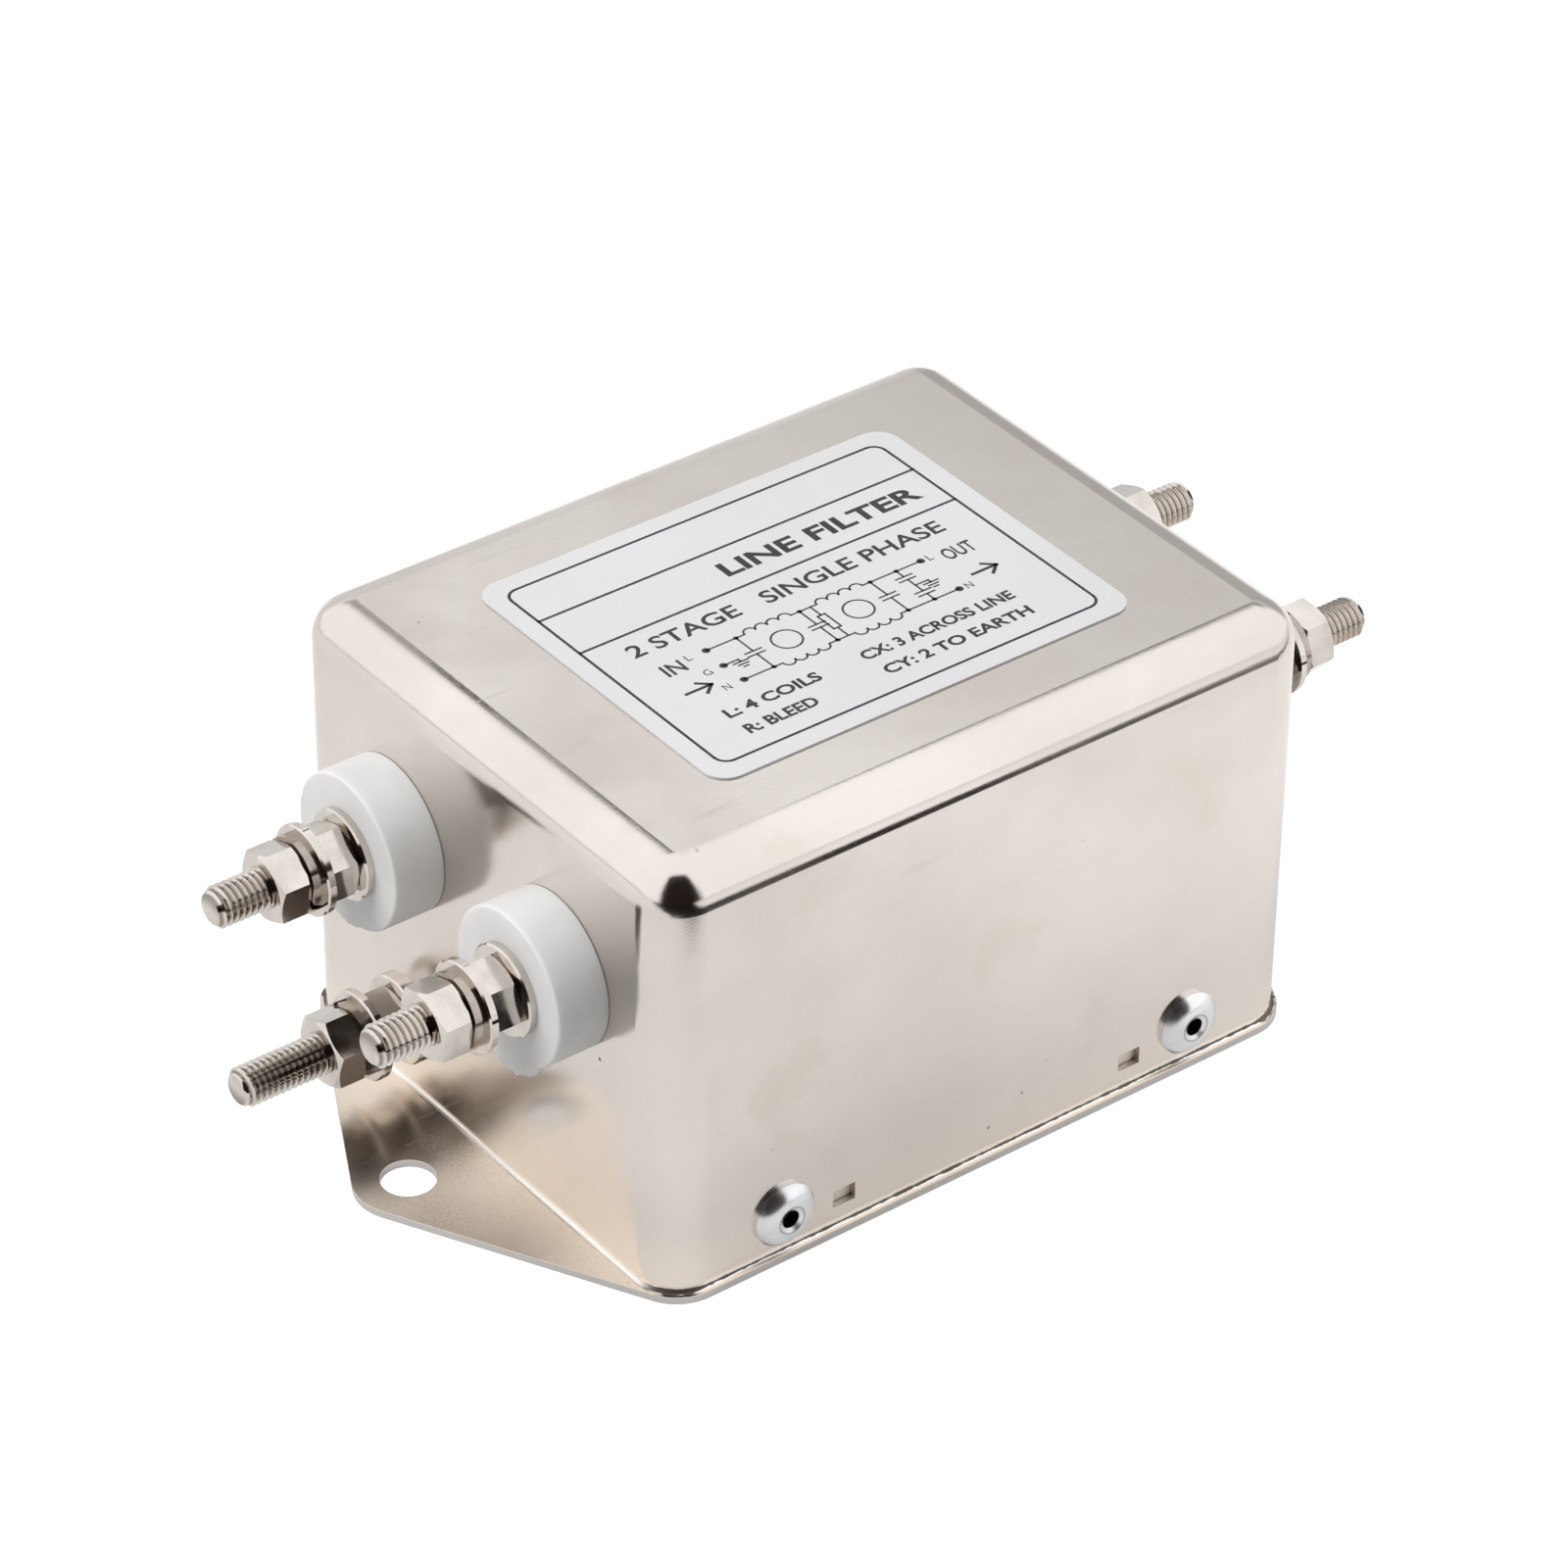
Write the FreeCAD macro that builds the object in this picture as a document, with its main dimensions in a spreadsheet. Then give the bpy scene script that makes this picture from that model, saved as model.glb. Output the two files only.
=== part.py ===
import FreeCAD, Part
import math
import os
import Sketcher

# Single-phase two-stage line filter in a drawn steel case with screw-stud terminals.
# X runs along the case from the input end (-X) to the output end (+X), Y runs across it
# and Z points up from the mounting plane. The origin is the middle of the mounting plane.

SIZES = (
    # Case
    ("case_length", 90.0, "outside of the drawn case along X"),
    ("case_width", 70.0, "outside of the drawn case along Y"),
    ("case_height", 57.0, "mounting plane to the top of the case"),
    ("sheet", 1.0, "thickness of the case and cover steel"),
    ("corner_radius", 5.4, "outside radius of the four upright corners"),
    ("crown_radius", 5.0, "outside radius around the top of the case"),
    # Foot flange and ears
    ("foot_bend", 0.6, "outside radius where the wall turns into the flange"),
    ("foot_edge", 0.15, "flat edge of the flange beyond that bend"),
    ("ear_overhang", 10.0, "mounting holes beyond the end walls"),
    ("ear_hole", 6.5, "diameter of a mounting hole"),
    ("ear_tip_radius", 6.4, "rounding of an ear about its hole"),
    # Bottom cover, its rivets and its stops
    ("cover_gap", 0.1, "play between the cover and the case walls"),
    ("cover_recess", 0.3, "cover above the mounting plane"),
    ("cover_rim", 11.0, "top of the cover's upturned rims"),
    ("cover_rim_setback", 3.5, "upturned rims short of the rounded corners"),
    ("cover_fold", 0.8, "inside radius of the folds of the cover"),
    ("rivet_inset", 16.0, "rivets from the end walls"),
    ("rivet_level", 6.3, "rivet axis above the mounting plane"),
    ("rivet_shank", 4.0, "diameter of a rivet body"),
    ("rivet_play", 0.1, "clearance of a rivet body in its holes"),
    ("rivet_head", 8.0, "diameter of a rivet head"),
    ("rivet_dome", 1.7, "height of a rivet head"),
    ("rivet_brim", 0.5, "thickness of a rivet head at its edge"),
    ("rivet_mouth", 3.4, "diameter of the flat ring around the mandrel hole"),
    ("mouth_step", 0.3, "countersink of the mandrel hole"),
    ("mandrel_hole", 2.2, "diameter of the mandrel hole"),
    ("mandrel_depth", 1.3, "depth of the mandrel hole below the ring"),
    ("rivet_bulb", 5.6, "diameter of the upset blind end"),
    ("rivet_bulb_length", 3.0, "length of the upset blind end"),
    ("stop_offset", 8.5, "pressed stops from the rivets, towards the middle"),
    ("stop_level", 4.7, "middle of a pressed stop above the mounting plane"),
    ("stop_width", 3.1, "pressed stop along X"),
    ("stop_height", 2.3, "pressed stop, bottom to top"),
    ("stop_press", 0.85, "how far a stop is pressed into the case"),
    ("stop_play", 0.5, "play around a stop in its window in the cover"),
    # Rating label
    ("label_length", 58.0, "label along X"),
    ("label_width", 46.0, "label along Y"),
    ("label_thickness", 0.2, "label foil"),
    ("label_corner", 3.0, "rounding of the label"),
    # Terminals
    ("terminal_pitch", 30.8, "distance between the two power studs of an end"),
    ("terminal_level", 35.6, "power stud axes above the mounting plane"),
    ("earth_level", 9.6, "earth stud axis above the mounting plane"),
    ("stud_diameter", 5.0, "thread diameter of every stud"),
    ("stud_core", 4.13, "root diameter of the thread, drawn where nuts and washers sit"),
    ("stud_tip", 0.7, "chamfer at the free end of a stud"),
    ("free_thread_gap", 0.2, "outer nut to the start of the full thread diameter"),
    ("stud_reach", 24.6, "power stud tip beyond the wall"),
    ("earth_reach", 22.4, "earth stud tip beyond the wall"),
    ("stud_head_flats", 8.0, "hexagon head across its flats"),
    ("stud_head_height", 3.5, "hexagon head height"),
    ("bore_play", 0.3, "clearance of a bore on the thread it slips over"),
    ("thread_play", 0.1, "clearance of a nut's bore on the core of its stud"),
    ("bushing_diameter", 19.0, "white outer bushing"),
    ("bushing_thickness", 6.6, "white outer bushing, wall to front face"),
    ("bushing_round", 0.8, "rounding of the bushing's front edge"),
    ("spigot_diameter", 9.6, "spigot that passes through the wall"),
    ("spigot_length", 1.8, "length of that spigot"),
    ("spigot_play", 0.2, "clearance around the spigot and past its end"),
    ("insulator_diameter", 15.0, "inner insulating washer"),
    ("insulator_thickness", 3.0, "inner insulating washer"),
    ("washer_diameter", 11.0, "flat washers"),
    ("washer_thickness", 1.0, "flat washers"),
    ("washer_edge", 0.2, "broken edge of a flat washer"),
    ("lock_washer_diameter", 9.2, "split lock washers"),
    ("lock_washer_thickness", 1.3, "split lock washers"),
    ("lock_washer_split", 1.0, "gap of a split lock washer"),
    ("lock_washer_slant", 0.8, "lean of that gap from face to face"),
    ("nut_flats", 8.0, "hexagon nuts across their flats"),
    ("nut_thickness", 4.0, "hexagon nuts"),
    ("nut_face", 7.6, "round flat on the faces of a nut"),
    ("bore_chamfer", 0.4, "countersink of a nut's thread"),
    # Inside
    ("strap_thickness", 0.8, "copper straps"),
    ("strap_eye", 10.0, "eye of a strap"),
    ("strap_width", 4.0, "tail of a strap"),
    ("strap_foot", 6.0, "foot of a strap along X"),
    ("strap_bend", 0.6, "inside radius of a strap's bend"),
    ("board_end_play", 2.0, "circuit board from the end walls"),
    ("board_side_play", 1.0, "circuit board from the side walls"),
    ("board_thickness", 1.6, "circuit board"),
    ("board_level", 17.0, "underside of the circuit board"),
    ("board_corner", 5.0, "rounding of the circuit board"),
    ("spacer_diameter", 6.0, "board spacers"),
    ("spacer_inset", 8.0, "spacers from the end walls"),
    ("spacer_offset", 6.6, "spacers outside the power studs"),
    ("spacer_pin", 2.8, "pin of a spacer in the board"),
    ("spacer_cap", 4.0, "snap head of a spacer above the board"),
    ("spacer_cap_height", 0.9, "snap head of a spacer above the board"),
    ("snap_play", 0.1, "snap head above the board"),
    ("pin", 0.8, "leads of the capacitors and the resistor"),
    ("pin_play", 0.4, "clearance of every pin and lead in the board"),
    ("pin_end", 1.2, "pins and leads below the board"),
    ("choke_parting", 3.8, "between the two ring cores"),
    ("choke_end_room", 11.1, "ring cores from the end walls"),
    ("choke_side_room", 2.35, "windings from the film capacitors"),
    ("seat_setback", 0.5, "edge of the insulating seat inside that of its core"),
    ("seat_reach", 2.5, "how far the seat reaches into the bore of its core"),
    ("seat_thickness", 1.5, "insulating seat under a choke"),
    ("core_height", 12.0, "ring core"),
    ("core_round", 1.2, "rounded edges of a ring core"),
    ("coat_gap", 0.15, "core coating under the wire"),
    ("wire", 2.0, "winding wire"),
    ("wire_bend", 0.6, "cut corners of a turn"),
    ("choke_lead", 1.6, "leads of a winding"),
    ("turn_count", 9.0, "turns of one winding"),
    ("turn_angle", 13.0, "degrees from one turn to the next"),
    ("film_row_inset", 10.5, "row of film capacitors from the end walls"),
    ("film_parting", 2.0, "between the film capacitors"),
    ("film_width", 11.0, "film capacitor along Y"),
    ("film_height", 19.0, "film capacitor"),
    ("film_pin_inset", 3.0, "pins of a film capacitor from its ends"),
    ("film_side_room", 3.0, "film capacitors from the side wall"),
    ("shunt_length", 13.0, "earth capacitor along X"),
    ("shunt_width", 6.0, "earth capacitor along Y"),
    ("shunt_height", 12.0, "earth capacitor"),
    ("shunt_pins", 10.0, "between the pins of an earth capacitor"),
    ("shunt_side_room", 6.0, "earth capacitors from the side wall"),
    ("part_round", 0.8, "rounded edges of the capacitor boxes"),
    ("resistor_length", 11.0, "bleeder resistor body"),
    ("resistor_diameter", 4.0, "bleeder resistor body"),
    ("resistor_neck", 3.2, "bleeder resistor body between its caps"),
    ("resistor_rise", 1.0, "bleeder resistor above the board"),
    ("resistor_cap", 2.4, "end caps of the bleeder resistor"),
    ("resistor_run", 2.5, "straight lead beyond the resistor body"),
)

SHEET_NAME = "Sizes"
NEAR_ZERO = 1e-4
FULL_TURN = 360.0
HEX_SIDES = 6
CORE_BORE_RATIO = 17 / 31

doc = FreeCAD.newDocument("line_filter")


class Size:
    """A length together with the sheet expression that yields it."""

    def __init__(self, value, text):
        self.value = float(value)
        self.text = text

    def __add__(self, other):
        other = as_size(other)
        return Size(self.value + other.value, "(%s + %s)" % (self.text, other.text))

    def __sub__(self, other):
        other = as_size(other)
        return Size(self.value - other.value, "(%s - %s)" % (self.text, other.text))

    def __rsub__(self, other):
        return as_size(other) - self

    def __mul__(self, other):
        other = as_size(other)
        return Size(self.value * other.value, "(%s * %s)" % (self.text, other.text))

    def __truediv__(self, other):
        other = as_size(other)
        return Size(self.value / other.value, "(%s / %s)" % (self.text, other.text))

    def __neg__(self):
        return Size(-self.value, "(0 - %s)" % self.text)

    __radd__ = __add__
    __rmul__ = __mul__


def as_size(number):
    """Return a Size for a plain number, or the Size itself."""
    return number if isinstance(number, Size) else Size(number, repr(float(number)))


def smaller(one, other):
    """The smaller of two sizes."""
    return Size(min(one.value, other.value), "min(%s; %s)" % (one.text, other.text))


def write_sheet():
    """Put every driving dimension in the spreadsheet and return them by name."""
    sheet = doc.addObject("Spreadsheet::Sheet", SHEET_NAME)
    named = {}
    for row, (alias, value, note) in enumerate(SIZES, 1):
        sheet.set("A%d" % row, alias)
        sheet.set("B%d" % row, str(value))
        sheet.setAlias("B%d" % row, alias)
        sheet.set("C%d" % row, note)
        named[alias] = Size(value, "%s.%s" % (SHEET_NAME, alias))
    doc.recompute()
    return named


S = write_sheet()


def bind(item, prop, size):
    """Drive one property of an object from the sheet."""
    item.setExpression(prop, as_size(size).text)


def new_body(label):
    """Start a sub-part."""
    body = doc.addObject("PartDesign::Body", label)
    body.Label = label
    return body


def origin_plane(body, role):
    """Find one of the body's own origin planes or axes by its role."""
    return next(feature for feature in body.Origin.OriginFeatures if feature.Role == role)


def new_sketch(body, name, role, height=0):
    """Attach a sketch to an origin plane of the body, raised by a height."""
    sketch = body.newObject("Sketcher::SketchObject", "%s_%s" % (body.Name, name))
    sketch.AttachmentSupport = [(origin_plane(body, role), "")]
    sketch.MapMode = "FlatFace"
    height = as_size(height)
    if height.value:
        sketch.AttachmentOffset = FreeCAD.Placement(
            FreeCAD.Vector(0, 0, height.value), FreeCAD.Rotation())
        bind(sketch, "AttachmentOffset.Base.z", height)
    return sketch


def constrain(sketch, kind, places, size):
    """Add one dimension to a sketch and drive it from the sheet."""
    size = as_size(size)
    index = sketch.addConstraint(Sketcher.Constraint(kind, *places, size.value))
    bind(sketch, "Constraints[%d]" % index, size)


def pin_point(sketch, edge, end, x, y):
    """Hold one point of a sketch at driven coordinates."""
    constrain(sketch, "DistanceX", (-1, 1, edge, end), x)
    constrain(sketch, "DistanceY", (-1, 1, edge, end), y)


def profile(sketch, corners):
    """Draw a closed outline through driven corners.

    A corner is (x, y), or (x, y, centre) where an arc about that centre leads on to the
    next corner.
    """
    spots = [FreeCAD.Vector(as_size(corner[0]).value, as_size(corner[1]).value, 0)
             for corner in corners]
    count = len(corners)
    pieces = []
    for n, corner in enumerate(corners):
        start, stop = spots[n], spots[(n + 1) % count]
        if len(corner) == 2:
            edge = sketch.addGeometry(Part.LineSegment(start, stop), False)
            pieces.append((edge, 1, 2))
            continue
        centre = FreeCAD.Vector(corner[2][0].value, corner[2][1].value, 0)
        ring = Part.Circle(centre, FreeCAD.Vector(0, 0, 1), (start - centre).Length)
        turns_left = (start - centre).cross(stop - centre).z > 0
        first, last = (start, stop) if turns_left else (stop, start)
        edge = sketch.addGeometry(
            Part.ArcOfCircle(ring, ring.parameter(first), ring.parameter(last)), False)
        pieces.append((edge, 1, 2) if turns_left else (edge, 2, 1))
        pin_point(sketch, edge, 3, *corner[2])
    for n, (edge, begin, end) in enumerate(pieces):
        follower, follower_begin, _ = pieces[(n + 1) % count]
        sketch.addConstraint(
            Sketcher.Constraint("Coincident", edge, end, follower, follower_begin))
    for n, (edge, begin, _) in enumerate(pieces):
        before = corners[n - 1]
        if len(before) == 2:
            pin_point(sketch, edge, begin, *corners[n][:2])
            continue
        out = spots[n] - FreeCAD.Vector(before[2][0].value, before[2][1].value, 0)
        level_tangent = abs(out.y) > abs(out.x)
        axis, size = ("DistanceX", corners[n][0]) if level_tangent else (
            "DistanceY", corners[n][1])
        constrain(sketch, axis, (-1, 1, edge, begin), size)


def rectangle(sketch, centre_x, centre_y, length, width):
    """Draw a driven rectangle about a centre."""
    left, right = centre_x - length / 2, centre_x + length / 2
    low, high = centre_y - width / 2, centre_y + width / 2
    profile(sketch, ((left, low), (right, low), (right, high), (left, high)))


def circle(sketch, centre_x, centre_y, diameter):
    """Draw a driven circle."""
    centre = FreeCAD.Vector(as_size(centre_x).value, as_size(centre_y).value, 0)
    radius = as_size(diameter) / 2
    edge = sketch.addGeometry(
        Part.Circle(centre, FreeCAD.Vector(0, 0, 1), radius.value), False)
    constrain(sketch, "Radius", (edge,), radius)
    pin_point(sketch, edge, 3, centre_x, centre_y)


def hexagon(sketch, flats):
    """Draw a driven hexagon about the sketch's origin, with a corner on its first axis."""
    reach = flats / (2 * math.cos(math.pi / HEX_SIDES))
    angles = [2 * math.pi * n / HEX_SIDES for n in range(HEX_SIDES)]
    profile(sketch, [(reach * math.cos(angle), reach * math.sin(angle)) for angle in angles])


def tangent_hull(sketch, rounds):
    """Draw arcs about driven centres, joined by their common outer tangents.

    The rounds are (x, y, radius) and run anticlockwise.
    """
    count = len(rounds)
    spots = [FreeCAD.Vector(x.value, y.value, 0) for x, y, radius in rounds]
    radii = [radius.value for x, y, radius in rounds]
    headings = []
    for n in range(count):
        step = spots[(n + 1) % count] - spots[n]
        swing = math.acos((radii[n] - radii[(n + 1) % count]) / step.Length)
        headings.append(math.atan2(step.y, step.x) - swing)
    arcs = []
    for n in range(count):
        start, stop = headings[n - 1], headings[n]
        while stop < start:
            stop += 2 * math.pi
        ring = Part.Circle(spots[n], FreeCAD.Vector(0, 0, 1), radii[n])
        arcs.append(sketch.addGeometry(Part.ArcOfCircle(ring, start, stop), False))
    for n in range(count):
        follower = (n + 1) % count
        out = FreeCAD.Vector(math.cos(headings[n]), math.sin(headings[n]), 0)
        line = sketch.addGeometry(
            Part.LineSegment(spots[n] + out * radii[n],
                             spots[follower] + out * radii[follower]), False)
        sketch.addConstraint(Sketcher.Constraint("Tangent", arcs[n], 2, line, 1))
        sketch.addConstraint(Sketcher.Constraint("Tangent", line, 2, arcs[follower], 1))
    for arc, (x, y, radius) in zip(arcs, rounds):
        constrain(sketch, "Radius", (arc,), radius)
        pin_point(sketch, arc, 3, x, y)


def extrude(body, kind, sketch, length, symmetric, reverse):
    """Run a sketch along its normal by a driven length, or right through the body."""
    feature = body.newObject(kind, sketch.Name + "_run")
    feature.Profile = sketch
    if length is None:
        feature.Type = "ThroughAll"
    else:
        feature.Length = as_size(length).value
        bind(feature, "Length", length)
    feature.SideType = "Symmetric" if symmetric else "One side"
    feature.Reversed = reverse
    doc.recompute()
    return feature


def pad(body, sketch, length, symmetric=False, reverse=False):
    """Extrude a sketch into material."""
    return extrude(body, "PartDesign::Pad", sketch, length, symmetric, reverse)


def pocket(body, sketch, length=None, symmetric=False, reverse=False):
    """Cut a sketch out of the body, right through it where no length is given."""
    before = body.Shape.Volume
    feature = extrude(body, "PartDesign::Pocket", sketch, length, symmetric, reverse)
    must_have_cut(body, feature, before)
    return feature


def turn_sketch(body, kind, sketch, axis):
    """Turn a sketch all the way round one of its own axes."""
    feature = body.newObject(kind, sketch.Name + "_turn")
    feature.Profile = sketch
    feature.ReferenceAxis = (sketch, [axis])
    feature.Angle = FULL_TURN
    doc.recompute()
    return feature


def revolve(body, sketch, axis="H_Axis"):
    """Add the solid that a sketch sweeps round its own axis."""
    return turn_sketch(body, "PartDesign::Revolution", sketch, axis)


def groove(body, sketch, axis="H_Axis"):
    """Cut away the solid that a sketch sweeps round its own axis."""
    before = body.Shape.Volume
    feature = turn_sketch(body, "PartDesign::Groove", sketch, axis)
    must_have_cut(body, feature, before)
    return feature


def must_have_cut(body, feature, before):
    """Stop if a cut took nothing away."""
    if body.Shape.Volume > before - NEAR_ZERO:
        raise RuntimeError("%s cuts nothing" % feature.Name)


def edges_where(body, test):
    """Name the edges of the body's last feature that pass a test."""
    return ["Edge%d" % (n + 1) for n, edge in enumerate(body.Tip.Shape.Edges) if test(edge)]


def fillet(body, name, test, radius):
    """Round the edges that pass a test."""
    edges = edges_where(body, test)
    if not edges:
        raise RuntimeError("%s of %s finds no edge" % (name, body.Name))
    base = body.Tip
    feature = body.newObject("PartDesign::Fillet", "%s_%s" % (body.Name, name))
    feature.Base = (base, edges)
    feature.Radius = radius.value
    bind(feature, "Radius", radius)
    doc.recompute()
    return feature


def shell(body, name, level, wall):
    """Hollow the body out inwards, open at its flat face on a level."""
    base = body.Tip
    opening = ["Face%d" % (n + 1) for n, face in enumerate(base.Shape.Faces)
               if abs(face.BoundBox.ZMin - level) < NEAR_ZERO
               and abs(face.BoundBox.ZMax - level) < NEAR_ZERO]
    feature = body.newObject("PartDesign::Thickness", "%s_%s" % (body.Name, name))
    feature.Base = (base, opening)
    feature.Value = wall.value
    bind(feature, "Value", wall)
    feature.Reversed = True
    doc.recompute()
    return feature


def is_upright(edge):
    """Tell whether an edge is a straight line along Z."""
    box = edge.BoundBox
    return box.XLength < NEAR_ZERO and box.YLength < NEAR_ZERO


def is_level_at(edge, height):
    """Tell whether an edge lies flat at a height."""
    box = edge.BoundBox
    return abs(box.ZMin - height) < NEAR_ZERO and abs(box.ZMax - height) < NEAR_ZERO


def is_inside(edge, half_length, half_width):
    """Tell whether an edge stays within a rectangle about the Z axis."""
    box = edge.BoundBox
    return (max(abs(box.XMin), abs(box.XMax)) < half_length + NEAR_ZERO
            and max(abs(box.YMin), abs(box.YMax)) < half_width + NEAR_ZERO)


def runs_along_x(edge):
    """Tell whether an edge is a straight line along X."""
    box = edge.BoundBox
    return box.YLength < NEAR_ZERO and box.ZLength < NEAR_ZERO


def runs_along_y_at(edge, x, z):
    """Tell whether an edge is a straight line along Y through a driven x and z."""
    box = edge.BoundBox
    return (box.XLength < NEAR_ZERO and box.ZLength < NEAR_ZERO
            and abs(box.XMin - x.value) < NEAR_ZERO and abs(box.ZMin - z.value) < NEAR_ZERO)


def is_ring(edge, x, diameter):
    """Tell whether an edge is a circle of a driven diameter about the X axis."""
    box = edge.BoundBox
    return (box.XLength < NEAR_ZERO and abs(box.XMin - x.value) < NEAR_ZERO
            and abs(box.ZLength - diameter.value) < NEAR_ZERO)


def place(item, x, y, z, turn=0.0, spin=0.0):
    """Set a sub-part in the filter.

    It is spun about its own X axis, then turned about Z, and its place is driven.
    """
    spots = [as_size(value) for value in (x, y, z)]
    rotation = (FreeCAD.Rotation(FreeCAD.Vector(0, 0, 1), turn)
                * FreeCAD.Rotation(FreeCAD.Vector(1, 0, 0), spin))
    item.Placement = FreeCAD.Placement(
        FreeCAD.Vector(*[spot.value for spot in spots]), rotation)
    for axis, spot in zip("xyz", spots):
        bind(item, "Placement.Base.%s" % axis, spot)


def group(label, blank, places):
    """Gather copies of one fastener as a group of separate solids."""
    copies = []
    for n, spot in enumerate(places, 1):
        copy = doc.addObject("App::Link", "%s_%d" % (label, n))
        copy.LinkedObject = blank
        place(copy, *spot)
        copies.append(copy)
    gathered = doc.addObject("Part::Compound", label)
    gathered.Label = label
    gathered.Links = copies
    return gathered


# Derived sizes

half_length = S["case_length"] / 2
half_width = S["case_width"] / 2
inner_half_length = half_length - S["sheet"]
inner_half_width = half_width - S["sheet"]
foot_lip = S["foot_bend"] + S["foot_edge"]
terminal_side = S["terminal_pitch"] / 2
stud_bore = S["stud_diameter"] + S["bore_play"]
rivet_hole = S["rivet_shank"] + S["rivet_play"]
cover_half_width = inner_half_width - S["cover_gap"]
cover_half_length = inner_half_length - S["cover_gap"]
cover_top = S["cover_recess"] + S["sheet"]
fold_outside = S["cover_fold"] + S["sheet"]
board_top = S["board_level"] + S["board_thickness"]
power_clamp = S["sheet"] + S["insulator_thickness"]
stack_height = (S["washer_thickness"] * 2 + S["nut_thickness"] * 2
                + S["lock_washer_thickness"])
ear_place = half_length + S["ear_overhang"]
rim_length = (cover_half_length - S["corner_radius"] + S["sheet"]
              - S["cover_rim_setback"]) * 2
rivet_place = half_length - S["rivet_inset"]
stop_place = rivet_place - S["stop_offset"]
spacer_x = inner_half_length - S["spacer_inset"]
spacer_y = terminal_side + S["spacer_offset"]
film_row_end = inner_half_length - S["film_row_inset"]
film_length = (film_row_end * 2 - S["film_parting"] * 2) / 3
film_pitch = film_length + S["film_parting"]
film_pins = film_length - S["film_pin_inset"] * 2
film_place = inner_half_width - S["film_side_room"] - S["film_width"] / 2
shunt_place = inner_half_width - S["shunt_side_room"] - S["shunt_width"] / 2
winding_inset = S["coat_gap"] + S["wire"]
core_level = board_top + S["seat_thickness"] + winding_inset
half_sweep = S["turn_angle"] * ((S["turn_count"] - 1) / 2)

# The two chokes lie side by side and take the room that the case leaves them along X,
# or the room beside the film capacitors where that is less
core_diameter = smaller(
    inner_half_length - S["choke_end_room"] - S["choke_parting"] / 2,
    (film_place - S["film_width"] / 2 - S["choke_side_room"] - winding_inset) * 2)
core_bore = core_diameter * CORE_BORE_RATIO
choke_place = (core_diameter + S["choke_parting"]) / 2
lead_circle = core_diameter / 2 + S["coat_gap"] + S["wire"] / 2

ENDS = (("input", -1, FULL_TURN / 2), ("output", 1, 0.0))
SIDES = (("near", -1, -FULL_TURN / 4), ("far", 1, FULL_TURN / 4))
CHAMFER_SLOPE = math.tan(math.radians(30))

# How far each fastener is turned on its stud, in degrees: the near and far stud of the
# input end, those of the output end, then the earth stud
FIXING_NUT_ANGLES = (43.0, 20.0, 8.0, 33.0, 47.0)
OUTER_NUT_ANGLES = (20.0, 20.0, 12.0, 41.0, 20.0)
SPLIT_ANGLES = (-75.0, -30.0, 64.0, 151.0, 118.0)
WASHER_ANGLES = (0.0, 0.0, 0.0, 0.0, 0.0)


# Case, cover, rivets and label


def case_shell():
    """The drawn case: crowned box, flange and ears in one sheet, holes and pressed stops."""
    body = new_body("case_shell")
    outline = new_sketch(body, "outline", "XY_Plane")
    rectangle(outline, 0, 0, S["case_length"], S["case_width"])
    pad(body, outline, S["case_height"])
    fillet(body, "corners", is_upright, S["corner_radius"])
    fillet(body, "crown", lambda edge: is_level_at(edge, S["case_height"].value),
           S["crown_radius"])

    shell(body, "wall", 0, S["sheet"])

    flange = new_sketch(body, "flange", "XY_Plane")
    corner_x = half_length - S["corner_radius"]
    corner_y = half_width - S["corner_radius"]
    foot_radius = S["corner_radius"] + foot_lip
    tangent_hull(flange, (
        (ear_place, as_size(0), S["ear_tip_radius"]),
        (corner_x, corner_y, foot_radius),
        (-corner_x, corner_y, foot_radius),
        (-ear_place, as_size(0), S["ear_tip_radius"]),
        (-corner_x, -corner_y, foot_radius),
        (corner_x, -corner_y, foot_radius)))
    mouth_radius = S["corner_radius"] - S["sheet"]
    tangent_hull(flange, (
        (corner_x, corner_y, mouth_radius),
        (-corner_x, corner_y, mouth_radius),
        (-corner_x, -corner_y, mouth_radius),
        (corner_x, -corner_y, mouth_radius)))
    pad(body, flange, S["sheet"])
    fillet(body, "foot",
           lambda edge: is_level_at(edge, S["sheet"].value)
           and is_inside(edge, half_length.value, half_width.value),
           S["foot_bend"])
    fillet(body, "mouth",
           lambda edge: is_level_at(edge, 0)
           and is_inside(edge, inner_half_length.value, inner_half_width.value),
           S["foot_bend"] + S["sheet"])

    ear_holes = new_sketch(body, "ear_holes", "XY_Plane")
    for side in (-1, 1):
        circle(ear_holes, ear_place * side, 0, S["ear_hole"])
    pocket(body, ear_holes, S["sheet"], reverse=True)

    stud_holes = new_sketch(body, "stud_holes", "YZ_Plane")
    for side in (-1, 1):
        circle(stud_holes, terminal_side * side, S["terminal_level"],
               S["spigot_diameter"] + S["spigot_play"] * 2)
    pocket(body, stud_holes, symmetric=True)
    earth_hole = new_sketch(body, "earth_hole", "YZ_Plane")
    circle(earth_hole, terminal_side, S["earth_level"], stud_bore)
    pocket(body, earth_hole)

    rivet_holes = new_sketch(body, "rivet_holes", "XZ_Plane")
    for end in (-1, 1):
        circle(rivet_holes, rivet_place * end, S["rivet_level"], rivet_hole)
    pocket(body, rivet_holes, symmetric=True)
    pressed_stops(body)
    return body


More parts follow.
